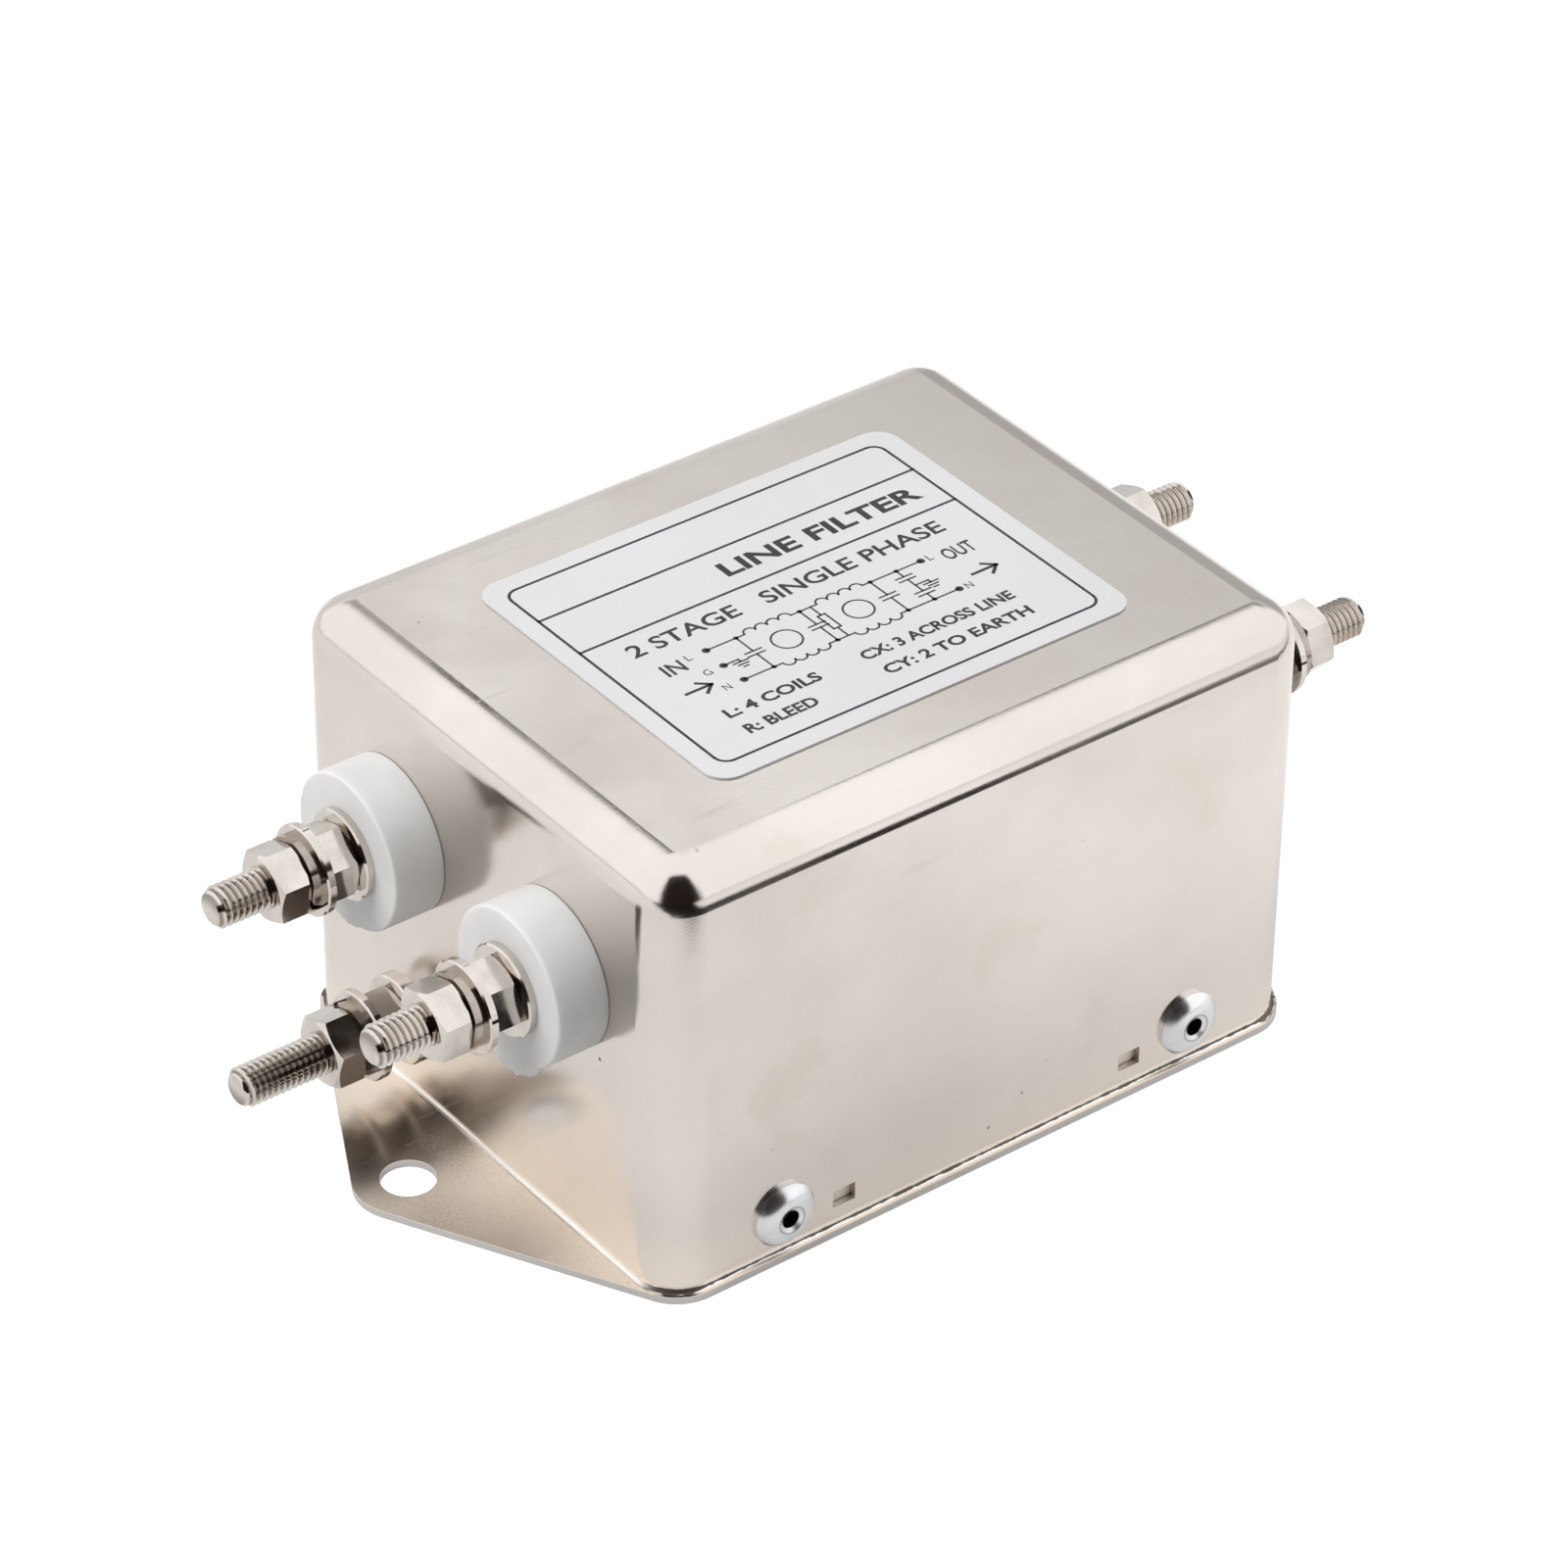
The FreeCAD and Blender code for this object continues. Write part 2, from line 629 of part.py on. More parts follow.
def pressed_stops(body):
    """The four small rectangles half sheared out of the sheet towards the inside."""
    for name, side, _ in SIDES:
        recesses = new_sketch(body, "recesses_" + name, "XZ_Plane", half_width * -side)
        bosses = new_sketch(body, "bosses_" + name, "XZ_Plane", inner_half_width * -side)
        for sketch in (recesses, bosses):
            for end in (-1, 1):
                rectangle(sketch, stop_place * end, S["stop_level"],
                          S["stop_width"], S["stop_height"])
        pocket(body, recesses, S["stop_press"], reverse=side > 0)
        pad(body, bosses, S["stop_press"], reverse=side < 0)


def bottom_cover():
    """The tray that closes the case from below, folded up along both long sides."""
    body = new_body("bottom_cover")
    section = new_sketch(body, "section", "YZ_Plane")
    rim_inside = cover_half_width - S["sheet"]
    profile(section, (
        (-cover_half_width, S["cover_recess"]), (cover_half_width, S["cover_recess"]),
        (cover_half_width, S["cover_rim"]), (rim_inside, S["cover_rim"]),
        (rim_inside, cover_top), (-rim_inside, cover_top),
        (-rim_inside, S["cover_rim"]), (-cover_half_width, S["cover_rim"])))
    pad(body, section, rim_length, symmetric=True)
    fillet(body, "outer_folds",
           lambda edge: is_level_at(edge, S["cover_recess"].value) and runs_along_x(edge),
           fold_outside)
    fillet(body, "inner_folds",
           lambda edge: is_level_at(edge, cover_top.value) and runs_along_x(edge),
           S["cover_fold"])
    floor = new_sketch(body, "floor", "XY_Plane", S["cover_recess"])
    rectangle(floor, 0, 0, cover_half_length * 2, (cover_half_width - fold_outside) * 2)
    pad(body, floor, S["sheet"])
    fillet(body, "corners",
           lambda edge: is_upright(edge)
           and abs(abs(edge.BoundBox.XMin) - cover_half_length.value) < NEAR_ZERO,
           S["corner_radius"] - S["sheet"])
    holes = new_sketch(body, "holes", "XZ_Plane")
    for end in (-1, 1):
        circle(holes, rivet_place * end, S["rivet_level"], rivet_hole)
        rectangle(holes, stop_place * end, S["stop_level"],
                  S["stop_width"] + S["stop_play"] * 2, S["stop_height"] + S["stop_play"] * 2)
    pocket(body, holes, symmetric=True)
    return body


def rivet_blank():
    """A set blind rivet: domed head with the mandrel hole, shank and upset end."""
    body = new_body("rivet_blank")
    section = new_sketch(body, "section", "XY_Plane")
    grip = S["sheet"] * 2 + S["cover_gap"]
    shank = S["rivet_shank"] / 2
    head = S["rivet_head"] / 2
    mouth = S["rivet_mouth"] / 2
    crown = S["rivet_dome"] - S["rivet_brim"]
    spread = head - mouth
    dome_radius = (crown * crown + spread * spread) / (crown * 2)
    hole_end = S["rivet_dome"] - S["mandrel_depth"]
    profile(section, (
        (hole_end, 0),
        (-(grip + S["rivet_bulb_length"]), 0),
        (-(grip + S["rivet_bulb_length"]), shank),
        (-(grip + S["rivet_bulb_length"] / 2), S["rivet_bulb"] / 2),
        (-grip, S["rivet_bulb"] / 2),
        (-grip, shank),
        (0, shank),
        (0, head),
        (S["rivet_brim"], head, (S["rivet_dome"] - dome_radius, mouth)),
        (S["rivet_dome"], mouth),
        (S["rivet_dome"] - S["mouth_step"], S["mandrel_hole"] / 2),
        (hole_end, S["mandrel_hole"] / 2)))
    revolve(body, section)
    return body


def rating_label():
    """The foil label on top of the case."""
    body = new_body("rating_label")
    outline = new_sketch(body, "outline", "XY_Plane")
    rectangle(outline, 0, 0, S["label_length"], S["label_width"])
    pad(body, outline, S["label_thickness"])
    fillet(body, "corners", is_upright, S["label_corner"])
    place(body, 0, 0, S["case_height"])
    return body


# Terminals, each drawn along its own X axis from the outside face of the wall


def bushing(label, x, y, turn):
    """White outer bushing: a thick disc with a spigot through the wall."""
    body = new_body(label)
    section = new_sketch(body, "section", "XY_Plane")
    profile(section, (
        (-S["spigot_length"], stud_bore / 2),
        (S["bushing_thickness"], stud_bore / 2),
        (S["bushing_thickness"], S["bushing_diameter"] / 2),
        (0, S["bushing_diameter"] / 2),
        (0, S["spigot_diameter"] / 2),
        (-S["spigot_length"], S["spigot_diameter"] / 2)))
    revolve(body, section)
    fillet(body, "rim",
           lambda edge: is_ring(edge, S["bushing_thickness"], S["bushing_diameter"]),
           S["bushing_round"])
    place(body, x, y, S["terminal_level"], turn)
    return body


def insulator(label, x, y, turn):
    """Inner insulating washer, bored out for the end of the bushing's spigot."""
    body = new_body(label)
    section = new_sketch(body, "section", "XY_Plane")
    recess = S["spigot_length"] + S["spigot_play"]
    recess_radius = S["spigot_diameter"] / 2 + S["spigot_play"]
    profile(section, (
        (-power_clamp, stud_bore / 2),
        (-recess, stud_bore / 2),
        (-recess, recess_radius),
        (-S["sheet"], recess_radius),
        (-S["sheet"], S["insulator_diameter"] / 2),
        (-power_clamp, S["insulator_diameter"] / 2)))
    revolve(body, section)
    place(body, x, y, S["terminal_level"], turn)
    return body


def stud(label, seat, stack_end, reach, spot, turn):
    """Stud whose hexagon head clamps its strap from inside the case.

    The free end beyond its outer nut has the full thread diameter.
    """
    body = new_body(label)
    head_face = -(seat + S["strap_thickness"])
    head = new_sketch(body, "head", "YZ_Plane", head_face - S["stud_head_height"])
    hexagon(head, S["stud_head_flats"])
    pad(body, head, S["stud_head_height"])
    shank = new_sketch(body, "shank", "XY_Plane")
    radius = S["stud_diameter"] / 2
    core = S["stud_core"] / 2
    free_start = stack_end + S["free_thread_gap"]
    profile(shank, (
        (head_face - S["stud_head_height"] / 2, 0),
        (reach, 0),
        (reach, radius - S["stud_tip"]),
        (reach - S["stud_tip"], radius),
        (free_start, radius),
        (free_start, core),
        (head_face - S["stud_head_height"] / 2, core)))
    revolve(body, shank)
    place(body, *spot, turn)
    return body


def strap(label, seat, foot_rise, spot, turn):
    """Copper strap: an eye under the stud's head and a foot soldered to the board."""
    body = new_body(label)
    thickness = S["strap_thickness"]
    inner = -(seat + thickness)
    foot_end = inner - S["strap_foot"]
    towards_eye = thickness * (1 if foot_rise.value < 0 else -1)
    bend = new_sketch(body, "bend", "XZ_Plane")
    profile(bend, (
        (-seat, 0), (-seat, foot_rise), (foot_end, foot_rise),
        (foot_end, foot_rise + towards_eye), (inner, foot_rise + towards_eye), (inner, 0)))
    pad(body, bend, S["strap_width"], symmetric=True)
    fillet(body, "outer_bend", lambda edge: runs_along_y_at(edge, -seat, foot_rise),
           S["strap_bend"] + thickness)
    fillet(body, "inner_bend",
           lambda edge: runs_along_y_at(edge, inner, foot_rise + towards_eye),
           S["strap_bend"])
    eye = new_sketch(body, "eye", "YZ_Plane", inner)
    circle(eye, 0, 0, S["strap_eye"])
    pad(body, eye, thickness)
    bore = new_sketch(body, "bore", "YZ_Plane")
    circle(bore, 0, 0, stud_bore)
    pocket(body, bore)
    place(body, *spot, turn)
    return body


def flat_washer_blank():
    """Flat washer with its edges broken."""
    body = new_body("flat_washer_blank")
    section = new_sketch(body, "section", "XY_Plane")
    profile(section, (
        (0, stud_bore / 2),
        (S["washer_thickness"], stud_bore / 2),
        (S["washer_thickness"], S["washer_diameter"] / 2 - S["washer_edge"]),
        (S["washer_thickness"] - S["washer_edge"], S["washer_diameter"] / 2),
        (0, S["washer_diameter"] / 2)))
    revolve(body, section)
    return body


def lock_washer_blank():
    """Spring lock washer with its slanting split on the +Y side."""
    body = new_body("lock_washer_blank")
    section = new_sketch(body, "section", "XY_Plane")
    thickness = S["lock_washer_thickness"]
    profile(section, (
        (0, stud_bore / 2),
        (thickness, stud_bore / 2),
        (thickness, S["lock_washer_diameter"] / 2),
        (0, S["lock_washer_diameter"] / 2)))
    revolve(body, section)
    split = new_sketch(body, "split", "XZ_Plane")
    gap = S["lock_washer_split"]
    slant = S["lock_washer_slant"]
    profile(split, (
        (0, -gap / 2 - slant / 2),
        (thickness, -gap / 2 + slant / 2),
        (thickness, gap / 2 + slant / 2),
        (0, gap / 2 - slant / 2)))
    pocket(body, split)
    return body


def nut_blank():
    """Hexagon nut, chamfered on both faces, with a countersunk bore."""
    body = new_body("nut_blank")
    outline = new_sketch(body, "outline", "YZ_Plane")
    hexagon(outline, S["nut_flats"])
    pad(body, outline, S["nut_thickness"])
    face = S["nut_face"] / 2
    beyond = S["nut_flats"]
    rise = (beyond - face) * CHAMFER_SLOPE
    corners = new_sketch(body, "corners", "XY_Plane")
    profile(corners, ((0, face), (rise, beyond), (0, beyond)))
    profile(corners, (
        (S["nut_thickness"], face), (S["nut_thickness"], beyond),
        (S["nut_thickness"] - rise, beyond)))
    groove(body, corners)
    bore = S["stud_core"] / 2 + S["thread_play"]
    mouth = bore + S["bore_chamfer"]
    thread = new_sketch(body, "thread", "XY_Plane")
    profile(thread, (
        (0, 0), (S["nut_thickness"], 0), (S["nut_thickness"], mouth),
        (S["nut_thickness"] - S["bore_chamfer"], bore), (S["bore_chamfer"], bore),
        (0, mouth)))
    groove(body, thread)
    return body


# Inside: board with its spacers, chokes, capacitors and bleeder resistor


def choke_leads():
    """Where the four leads of each choke pass through the board."""
    spots = []
    for place_side in (-1, 1):
        for winding_angle in (-90.0, 90.0):
            for end in (-1, 1):
                angle = math.radians(winding_angle + half_sweep.value * end)
                spots.append((choke_place * place_side + lead_circle * math.cos(angle),
                              lead_circle * math.sin(angle)))
    return spots


def film_spots():
    """Middles of the film capacitors, in a row along the near side."""
    return [(film_pitch * n, -film_place) for n in (-1, 0, 1)]


def shunt_spots():
    """Middles of the two earth capacitors along the far side."""
    middle = (resistor_span() / 2 + film_row_end) / 2
    return [(middle * end, shunt_place) for end in (-1, 1)]


def circuit_board():
    """The board, drilled for every lead and spacer."""
    body = new_body("circuit_board")
    outline = new_sketch(body, "outline", "XY_Plane")
    rectangle(outline, 0, 0, (inner_half_length - S["board_end_play"]) * 2,
              (inner_half_width - S["board_side_play"]) * 2)
    pad(body, outline, S["board_thickness"])
    fillet(body, "corners", is_upright, S["board_corner"])
    holes = new_sketch(body, "holes", "XY_Plane")
    for along in (-1, 1):
        for across in (-1, 1):
            circle(holes, spacer_x * along, spacer_y * across,
                   S["spacer_pin"] + S["pin_play"])
    for x, y in choke_leads():
        circle(holes, x, y, S["choke_lead"] + S["pin_play"])
    pin_rows = ((film_spots(), film_pins), (shunt_spots(), S["shunt_pins"]),
                ([(as_size(0), shunt_place)], resistor_span()))
    for spots, spread in pin_rows:
        for x, y in spots:
            for end in (-1, 1):
                circle(holes, x + spread * (end / 2), y, S["pin"] + S["pin_play"])
    pocket(body, holes, reverse=True)
    place(body, 0, 0, S["board_level"])
    return body


def board_spacer(label, along, across):
    """Spacer that stands on the cover, with a pin snapped through the board."""
    body = new_body(label)
    section = new_sketch(body, "section", "XZ_Plane")
    shoulder = S["board_level"] - cover_top
    cap = shoulder + S["board_thickness"] + S["snap_play"]
    crest = cap + S["spacer_cap_height"]
    profile(section, (
        (0, 0), (S["spacer_diameter"] / 2, 0), (S["spacer_diameter"] / 2, shoulder),
        (S["spacer_pin"] / 2, shoulder), (S["spacer_pin"] / 2, cap),
        (S["spacer_cap"] / 2, cap), (S["spacer_pin"] / 2, crest), (0, crest)))
    revolve(body, section, axis="V_Axis")
    place(body, spacer_x * along, spacer_y * across, cover_top)
    return body


def choke_seat(label, side):
    """Insulating washer between a choke and the board."""
    body = new_body(label)
    outline = new_sketch(body, "outline", "XY_Plane")
    circle(outline, 0, 0, core_diameter - S["seat_setback"] * 2)
    circle(outline, 0, 0, core_bore - S["seat_reach"] * 2)
    pad(body, outline, S["seat_thickness"])
    place(body, choke_place * side, 0, board_top)
    return body


def choke_core(label, side):
    """Coated ring core with rounded edges."""
    body = new_body(label)
    outline = new_sketch(body, "outline", "XY_Plane")
    circle(outline, 0, 0, core_diameter)
    circle(outline, 0, 0, core_bore)
    pad(body, outline, S["core_height"])
    fillet(body, "edges", lambda edge: len(edge.Vertexes) == 1, S["core_round"])
    place(body, choke_place * side, 0, core_level)
    return body


def winding(label, side, turn):
    """Half of a choke's winding: spaced turns that close up in the bore, and two leads."""
    body = new_body(label)
    first = new_sketch(body, "turn", "XZ_Plane")
    inside = core_bore / 2
    outside = core_diameter / 2
    gap = S["coat_gap"]
    profile(first, (
        (inside - gap, -gap), (outside + gap, -gap),
        (outside + gap, S["core_height"] + gap), (inside - gap, S["core_height"] + gap)))
    left = inside - winding_inset
    right = outside + winding_inset
    low = -winding_inset
    high = S["core_height"] + winding_inset
    bend = S["wire_bend"]
    profile(first, (
        (left + bend, low), (right - bend, low), (right, low + bend), (right, high - bend),
        (right - bend, high), (left + bend, high), (left, high - bend), (left, low + bend)))
    loop = pad(body, first, S["wire"], symmetric=True)
    turns = body.newObject("PartDesign::PolarPattern", label + "_turns")
    turns.Originals = [loop]
    turns.Axis = (origin_plane(body, "Z_Axis"), [""])
    turns.Angle = (half_sweep * 2).value
    bind(turns, "Angle", half_sweep * 2)
    turns.Occurrences = int(S["turn_count"].value)
    bind(turns, "Occurrences", S["turn_count"])
    body.Tip = turns
    doc.recompute()
    leads = new_sketch(body, "leads", "XY_Plane")
    sweep = math.radians((half_sweep * 2).value)
    circle(leads, lead_circle, 0, S["choke_lead"])
    circle(leads, lead_circle * math.cos(sweep), lead_circle * math.sin(sweep),
           S["choke_lead"])
    pad(body, leads, core_level - S["board_level"] + S["pin_end"], reverse=True)
    place(body, choke_place * side, 0, core_level, turn - half_sweep.value)
    return body


def film_capacitor(label, spot):
    """Box-shaped film capacitor across the line."""
    return boxed_part(label, spot, film_length, S["film_width"], S["film_height"],
                      film_pins)


def shunt_capacitor(label, spot):
    """Small box-shaped capacitor from a line to the case."""
    return boxed_part(label, spot, S["shunt_length"], S["shunt_width"], S["shunt_height"],
                      S["shunt_pins"])


def boxed_part(label, spot, length, width, height, pin_spread):
    """A moulded box on the board with two pins through it."""
    body = new_body(label)
    outline = new_sketch(body, "outline", "XY_Plane")
    rectangle(outline, 0, 0, length, width)
    pad(body, outline, height)
    fillet(body, "edges",
           lambda edge: is_upright(edge) or is_level_at(edge, height.value), S["part_round"])
    pins = new_sketch(body, "pins", "XY_Plane")
    for end in (-1, 1):
        circle(pins, pin_spread * (end / 2), 0, S["pin"])
    pad(body, pins, S["board_thickness"] + S["pin_end"], reverse=True)
    place(body, *spot, board_top)
    return body


def resistor_span():
    """Distance between the two leads of the bleeder resistor."""
    return S["resistor_length"] + S["resistor_run"] * 2


def bleeder_resistor():
    """Resistor lying above the board on its own two bent leads."""
    body = new_body("bleeder_resistor")
    barrel = new_sketch(body, "barrel", "XY_Plane")
    half = S["resistor_length"] / 2
    shoulder = half - S["resistor_cap"]
    neck = S["resistor_neck"] / 2
    radius = S["resistor_diameter"] / 2
    profile(barrel, (
        (-half, 0), (half, 0), (half, radius), (shoulder, radius), (shoulder, neck),
        (-shoulder, neck), (-shoulder, radius), (-half, radius)))
    revolve(body, barrel)
    drop = radius + S["resistor_rise"] + S["board_thickness"] + S["pin_end"]
    rooted = half - S["resistor_cap"] / 2
    for name, end, _ in ENDS:
        lead = new_sketch(body, "lead_" + name, "YZ_Plane", rooted * end)
        circle(lead, 0, 0, S["pin"])
        pad(body, lead, resistor_span() / 2 - rooted + S["pin"] / 2, reverse=end < 0)
    feet = new_sketch(body, "feet", "XY_Plane")
    for end in (-1, 1):
        circle(feet, resistor_span() * (end / 2), 0, S["pin"])
    pad(body, feet, drop, reverse=True)
    place(body, 0, shunt_place, board_top + S["resistor_rise"] + radius)
    return body


# The whole filter


def power_spot(end, side):
    """Axis of a power stud on the outside face of its wall."""
    return (half_length * end, terminal_side * side, S["terminal_level"])


def fastener_places(level, spins):
    """Where one kind of fastener sits on the four power studs and the earth stud.

    The level is measured outwards from the bushing, or from the wall at the earth stud.
    """
    places = []
    for (_, end, turn) in ENDS:
        for (_, side, _) in SIDES:
            x = (half_length + S["bushing_thickness"] + level) * end
            places.append((x, terminal_side * side, S["terminal_level"], turn, next(spins)))
    (_, end, turn) = ENDS[0]
    places.append(((half_length + level) * end, terminal_side, S["earth_level"], turn,
                   next(spins)))
    return places


def build_terminals():
    """Studs, bushings, insulators and straps of the four power terminals and the earth."""
    parts = []
    for end_name, end, turn in ENDS:
        for side_name, side, _ in SIDES:
            tag = "_%s_%s" % (end_name, side_name)
            x, y, level = power_spot(end, side)
            parts.append(bushing("bushing" + tag, x, y, turn))
            parts.append(insulator("insulator" + tag, x, y, turn))
            parts.append(stud("stud" + tag, power_clamp,
                              S["bushing_thickness"] + stack_height, S["stud_reach"],
                              (x, y, level), turn))
            parts.append(strap("strap" + tag, power_clamp, board_top - S["terminal_level"],
                               (x, y, level), turn))
    (_, end, turn) = ENDS[0]
    earth_spot = (half_length * end, terminal_side, S["earth_level"])
    parts.append(stud("earth_stud", S["sheet"], stack_height, S["earth_reach"],
                      earth_spot, turn))
    parts.append(strap("earth_strap", S["sheet"], S["board_level"] - S["earth_level"],
                       earth_spot, turn))
    return parts


def build_fasteners():
    """Nuts and washers, each kind gathered as one group, from the bushings outwards."""
    washer = flat_washer_blank()
    lock_washer = lock_washer_blank()
    nut = nut_blank()
    rivet = rivet_blank()
    thickness = S["washer_thickness"]
    second = thickness + S["nut_thickness"]
    lock_level = second + thickness
    nut_level = lock_level + S["lock_washer_thickness"]
    none = as_size(0)
    return [
        group("fixing_washers", washer, fastener_places(none, iter(WASHER_ANGLES))),
        group("fixing_nuts", nut, fastener_places(thickness, iter(FIXING_NUT_ANGLES))),
        group("terminal_washers", washer, fastener_places(second, iter(WASHER_ANGLES))),
        group("lock_washers", lock_washer, fastener_places(lock_level, iter(SPLIT_ANGLES))),
        group("terminal_nuts", nut, fastener_places(nut_level, iter(OUTER_NUT_ANGLES))),
        group("cover_rivets", rivet, [
            (rivet_place * end, half_width * side, S["rivet_level"], turn)
            for end in (-1, 1) for _, side, turn in SIDES])]


def build_inside():
    """Board, spacers, chokes, capacitors and resistor."""
    parts = [circuit_board(), bleeder_resistor()]
    for end_name, end, _ in ENDS:
        for side_name, side, _ in SIDES:
            parts.append(board_spacer("spacer_%s_%s" % (end_name, side_name), end, side))
        parts.append(choke_seat("choke_seat_" + end_name, end))
        parts.append(choke_core("choke_core_" + end_name, end))
        for side_name, _, turn in SIDES:
            parts.append(winding("winding_%s_%s" % (end_name, side_name), end, turn))
    for name, spot in zip(("input", "middle", "output"), film_spots()):
        parts.append(film_capacitor("film_capacitor_" + name, spot))
    for (end_name, _, _), spot in zip(ENDS, shunt_spots()):
        parts.append(shunt_capacitor("earth_capacitor_" + end_name, spot))
    return parts


def export(parts):
    """Check every object and write one STEP file for each sub-part."""
    doc.recompute()
    for item in doc.Objects:
        if {"Invalid", "Error"} & set(item.State):
            raise RuntimeError("%s failed" % item.Label)
    for part in parts:
        if part.Shape.isNull() or not part.Shape.isValid():
            raise RuntimeError("%s has no valid shape" % part.Label)
    os.makedirs("parts", exist_ok=True)
    for part in parts:
        part.Shape.exportStep("parts/%s.step" % part.Label)
        print("%-26s %2d solid(s) %10.2f mm3"
              % (part.Label, len(part.Shape.Solids), part.Shape.Volume))


export([case_shell(), bottom_cover(), rating_label()]
       + build_terminals() + build_fasteners() + build_inside())
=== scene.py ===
import logging
import math
from dataclasses import dataclass, field
from enum import Enum
from functools import partial, reduce
from typing import Any, ClassVar, Sequence

import bmesh
import bpy
from mathutils import Matrix, Vector


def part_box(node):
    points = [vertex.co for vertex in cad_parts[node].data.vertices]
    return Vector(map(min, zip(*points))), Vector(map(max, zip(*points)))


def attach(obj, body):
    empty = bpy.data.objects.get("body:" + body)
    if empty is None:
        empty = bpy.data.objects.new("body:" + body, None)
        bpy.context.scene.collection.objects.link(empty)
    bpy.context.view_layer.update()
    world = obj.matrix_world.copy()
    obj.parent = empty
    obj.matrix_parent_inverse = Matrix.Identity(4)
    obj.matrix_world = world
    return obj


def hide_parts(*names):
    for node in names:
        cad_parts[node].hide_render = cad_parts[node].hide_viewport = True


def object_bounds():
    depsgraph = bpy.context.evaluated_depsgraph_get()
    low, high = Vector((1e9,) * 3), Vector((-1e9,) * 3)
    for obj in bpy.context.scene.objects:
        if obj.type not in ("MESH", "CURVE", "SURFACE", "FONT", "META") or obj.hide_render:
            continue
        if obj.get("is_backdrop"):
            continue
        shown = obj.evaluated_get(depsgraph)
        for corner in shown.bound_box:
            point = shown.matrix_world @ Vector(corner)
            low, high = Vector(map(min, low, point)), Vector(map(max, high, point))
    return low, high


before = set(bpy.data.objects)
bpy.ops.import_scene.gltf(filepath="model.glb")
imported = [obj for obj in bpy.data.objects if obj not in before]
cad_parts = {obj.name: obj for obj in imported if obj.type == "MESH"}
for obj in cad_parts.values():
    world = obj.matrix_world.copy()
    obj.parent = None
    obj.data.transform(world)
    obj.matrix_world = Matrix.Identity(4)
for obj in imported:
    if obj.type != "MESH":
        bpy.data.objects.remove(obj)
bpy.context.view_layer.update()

MM = 0.001
SAME_SPOT = 1e-6
MERGE_BELOW = 0.002 * MM
SMOOTH_BELOW = math.radians(40)
THREAD_DEPTH = "thread_depth"
Node = bpy.types.Node
Socket = bpy.types.NodeSocket
Material = bpy.types.Material
Object = bpy.types.Object
Shape = bmesh.types.BMesh
Pair = tuple[float, float]
Colour = tuple[float, float, float]
Direction = tuple[float, float, float]
Ramp = tuple[float, float, float, float]
log = logging.getLogger("line_filter")


# Node trees


class Graph:
    """Short way to add and join the nodes of one tree."""

    def __init__(self, tree: bpy.types.NodeTree) -> None:
        """Start on an emptied tree."""
        tree.nodes.clear()
        self.tree = tree

    def add(self, kind: str, inputs: dict | None = None, **settings: Any) -> Node:
        """Add one node.

        Args:
            kind: Node type without its ShaderNode prefix.
            inputs: Values or source sockets by input name or number.
            settings: Properties of the node itself.

        Returns:
            The new node.
        """
        node = self.tree.nodes.new("ShaderNode" + kind)
        for key, value in settings.items():
            setattr(node, key, value)
        for key, value in (inputs or {}).items():
            self.feed(node.inputs[key], value)
        return node

    def feed(self, socket: Socket, value: Any) -> None:
        """Link a source socket to an input, or set the input's own value.

        Args:
            socket: The input.
            value: A source socket, a number, a vector or a colour.
        """
        if isinstance(value, Socket):
            self.tree.links.new(value, socket)
        elif isinstance(value, tuple) and len(value) == 3 and socket.type == "RGBA":
            socket.default_value = (*value, 1.0)
        else:
            socket.default_value = value

    def math(self, operation: str, *values: Any) -> Socket:
        """Add a Math node and return its result."""
        return self.add("Math", dict(enumerate(values)), operation=operation).outputs[0]

    def times(self, *values: Any) -> Socket:
        """Multiply values from left to right."""
        return reduce(partial(self.math, "MULTIPLY"), values)

    def plus(self, *values: Any) -> Socket:
        """Add values from left to right."""
        return reduce(partial(self.math, "ADD"), values)

    def most(self, *values: Any) -> Socket:
        """Take the largest of the values."""
        return reduce(partial(self.math, "MAXIMUM"), values)

    def minus(self, first: Any, second: Any) -> Socket:
        """Take the second value from the first."""
        return self.math("SUBTRACT", first, second)

    def size(self, value: Any) -> Socket:
        """Take a value without its sign."""
        return self.math("ABSOLUTE", value)

    def split(self, place: Socket) -> Sequence[Socket]:
        """Split a place or direction into X, Y and Z."""
        return self.add("SeparateXYZ", {0: place}).outputs

    def spread(self, value: Any, low: float, high: float, to_low: float = 0.0,
               to_high: float = 1.0) -> Socket:
        """Map one range of values to another, smoothly and clamped.

        Args:
            value: What is mapped.
            low: Value that becomes to_low.
            high: Value that becomes to_high.
            to_low: Result at the first end.
            to_high: Result at the other end.

        Returns:
            The mapped value.
        """
        ends = {"Value": value, "From Min": low, "From Max": high, "To Min": to_low,
                "To Max": to_high}
        return self.add("MapRange", ends, interpolation_type="SMOOTHSTEP").outputs["Result"]

    def blend(self, share: Any, first: Any, second: Any, clamp: bool = True) -> Socket:
        """Mix two colours by a share, which may pass 1 where it isn't clamped."""
        return self.add("Mix", {0: share, 6: first, 7: second}, data_type="RGBA",
                        clamp_factor=clamp).outputs[2]

    def mix(self, share: Any, first: Any, second: Any) -> Socket:
        """Mix two numbers by a share."""
        return self.add("Mix", {0: share, 2: first, 3: second}).outputs[0]

    def noise(self, place: Socket, scale: Any, detail: float, roughness: float) -> Socket:
        """Add a noise pattern and return its value."""
        return self.add("TexNoise", {"Vector": place, "Scale": scale, "Detail": detail,
                                     "Roughness": roughness}).outputs[0]


class Effect(Enum):
    """Surface effects that several finishes share."""

    GRAIN = "surface_grain"
    SCUFFS = "surface_scuffs"
    PITS = "surface_pits"


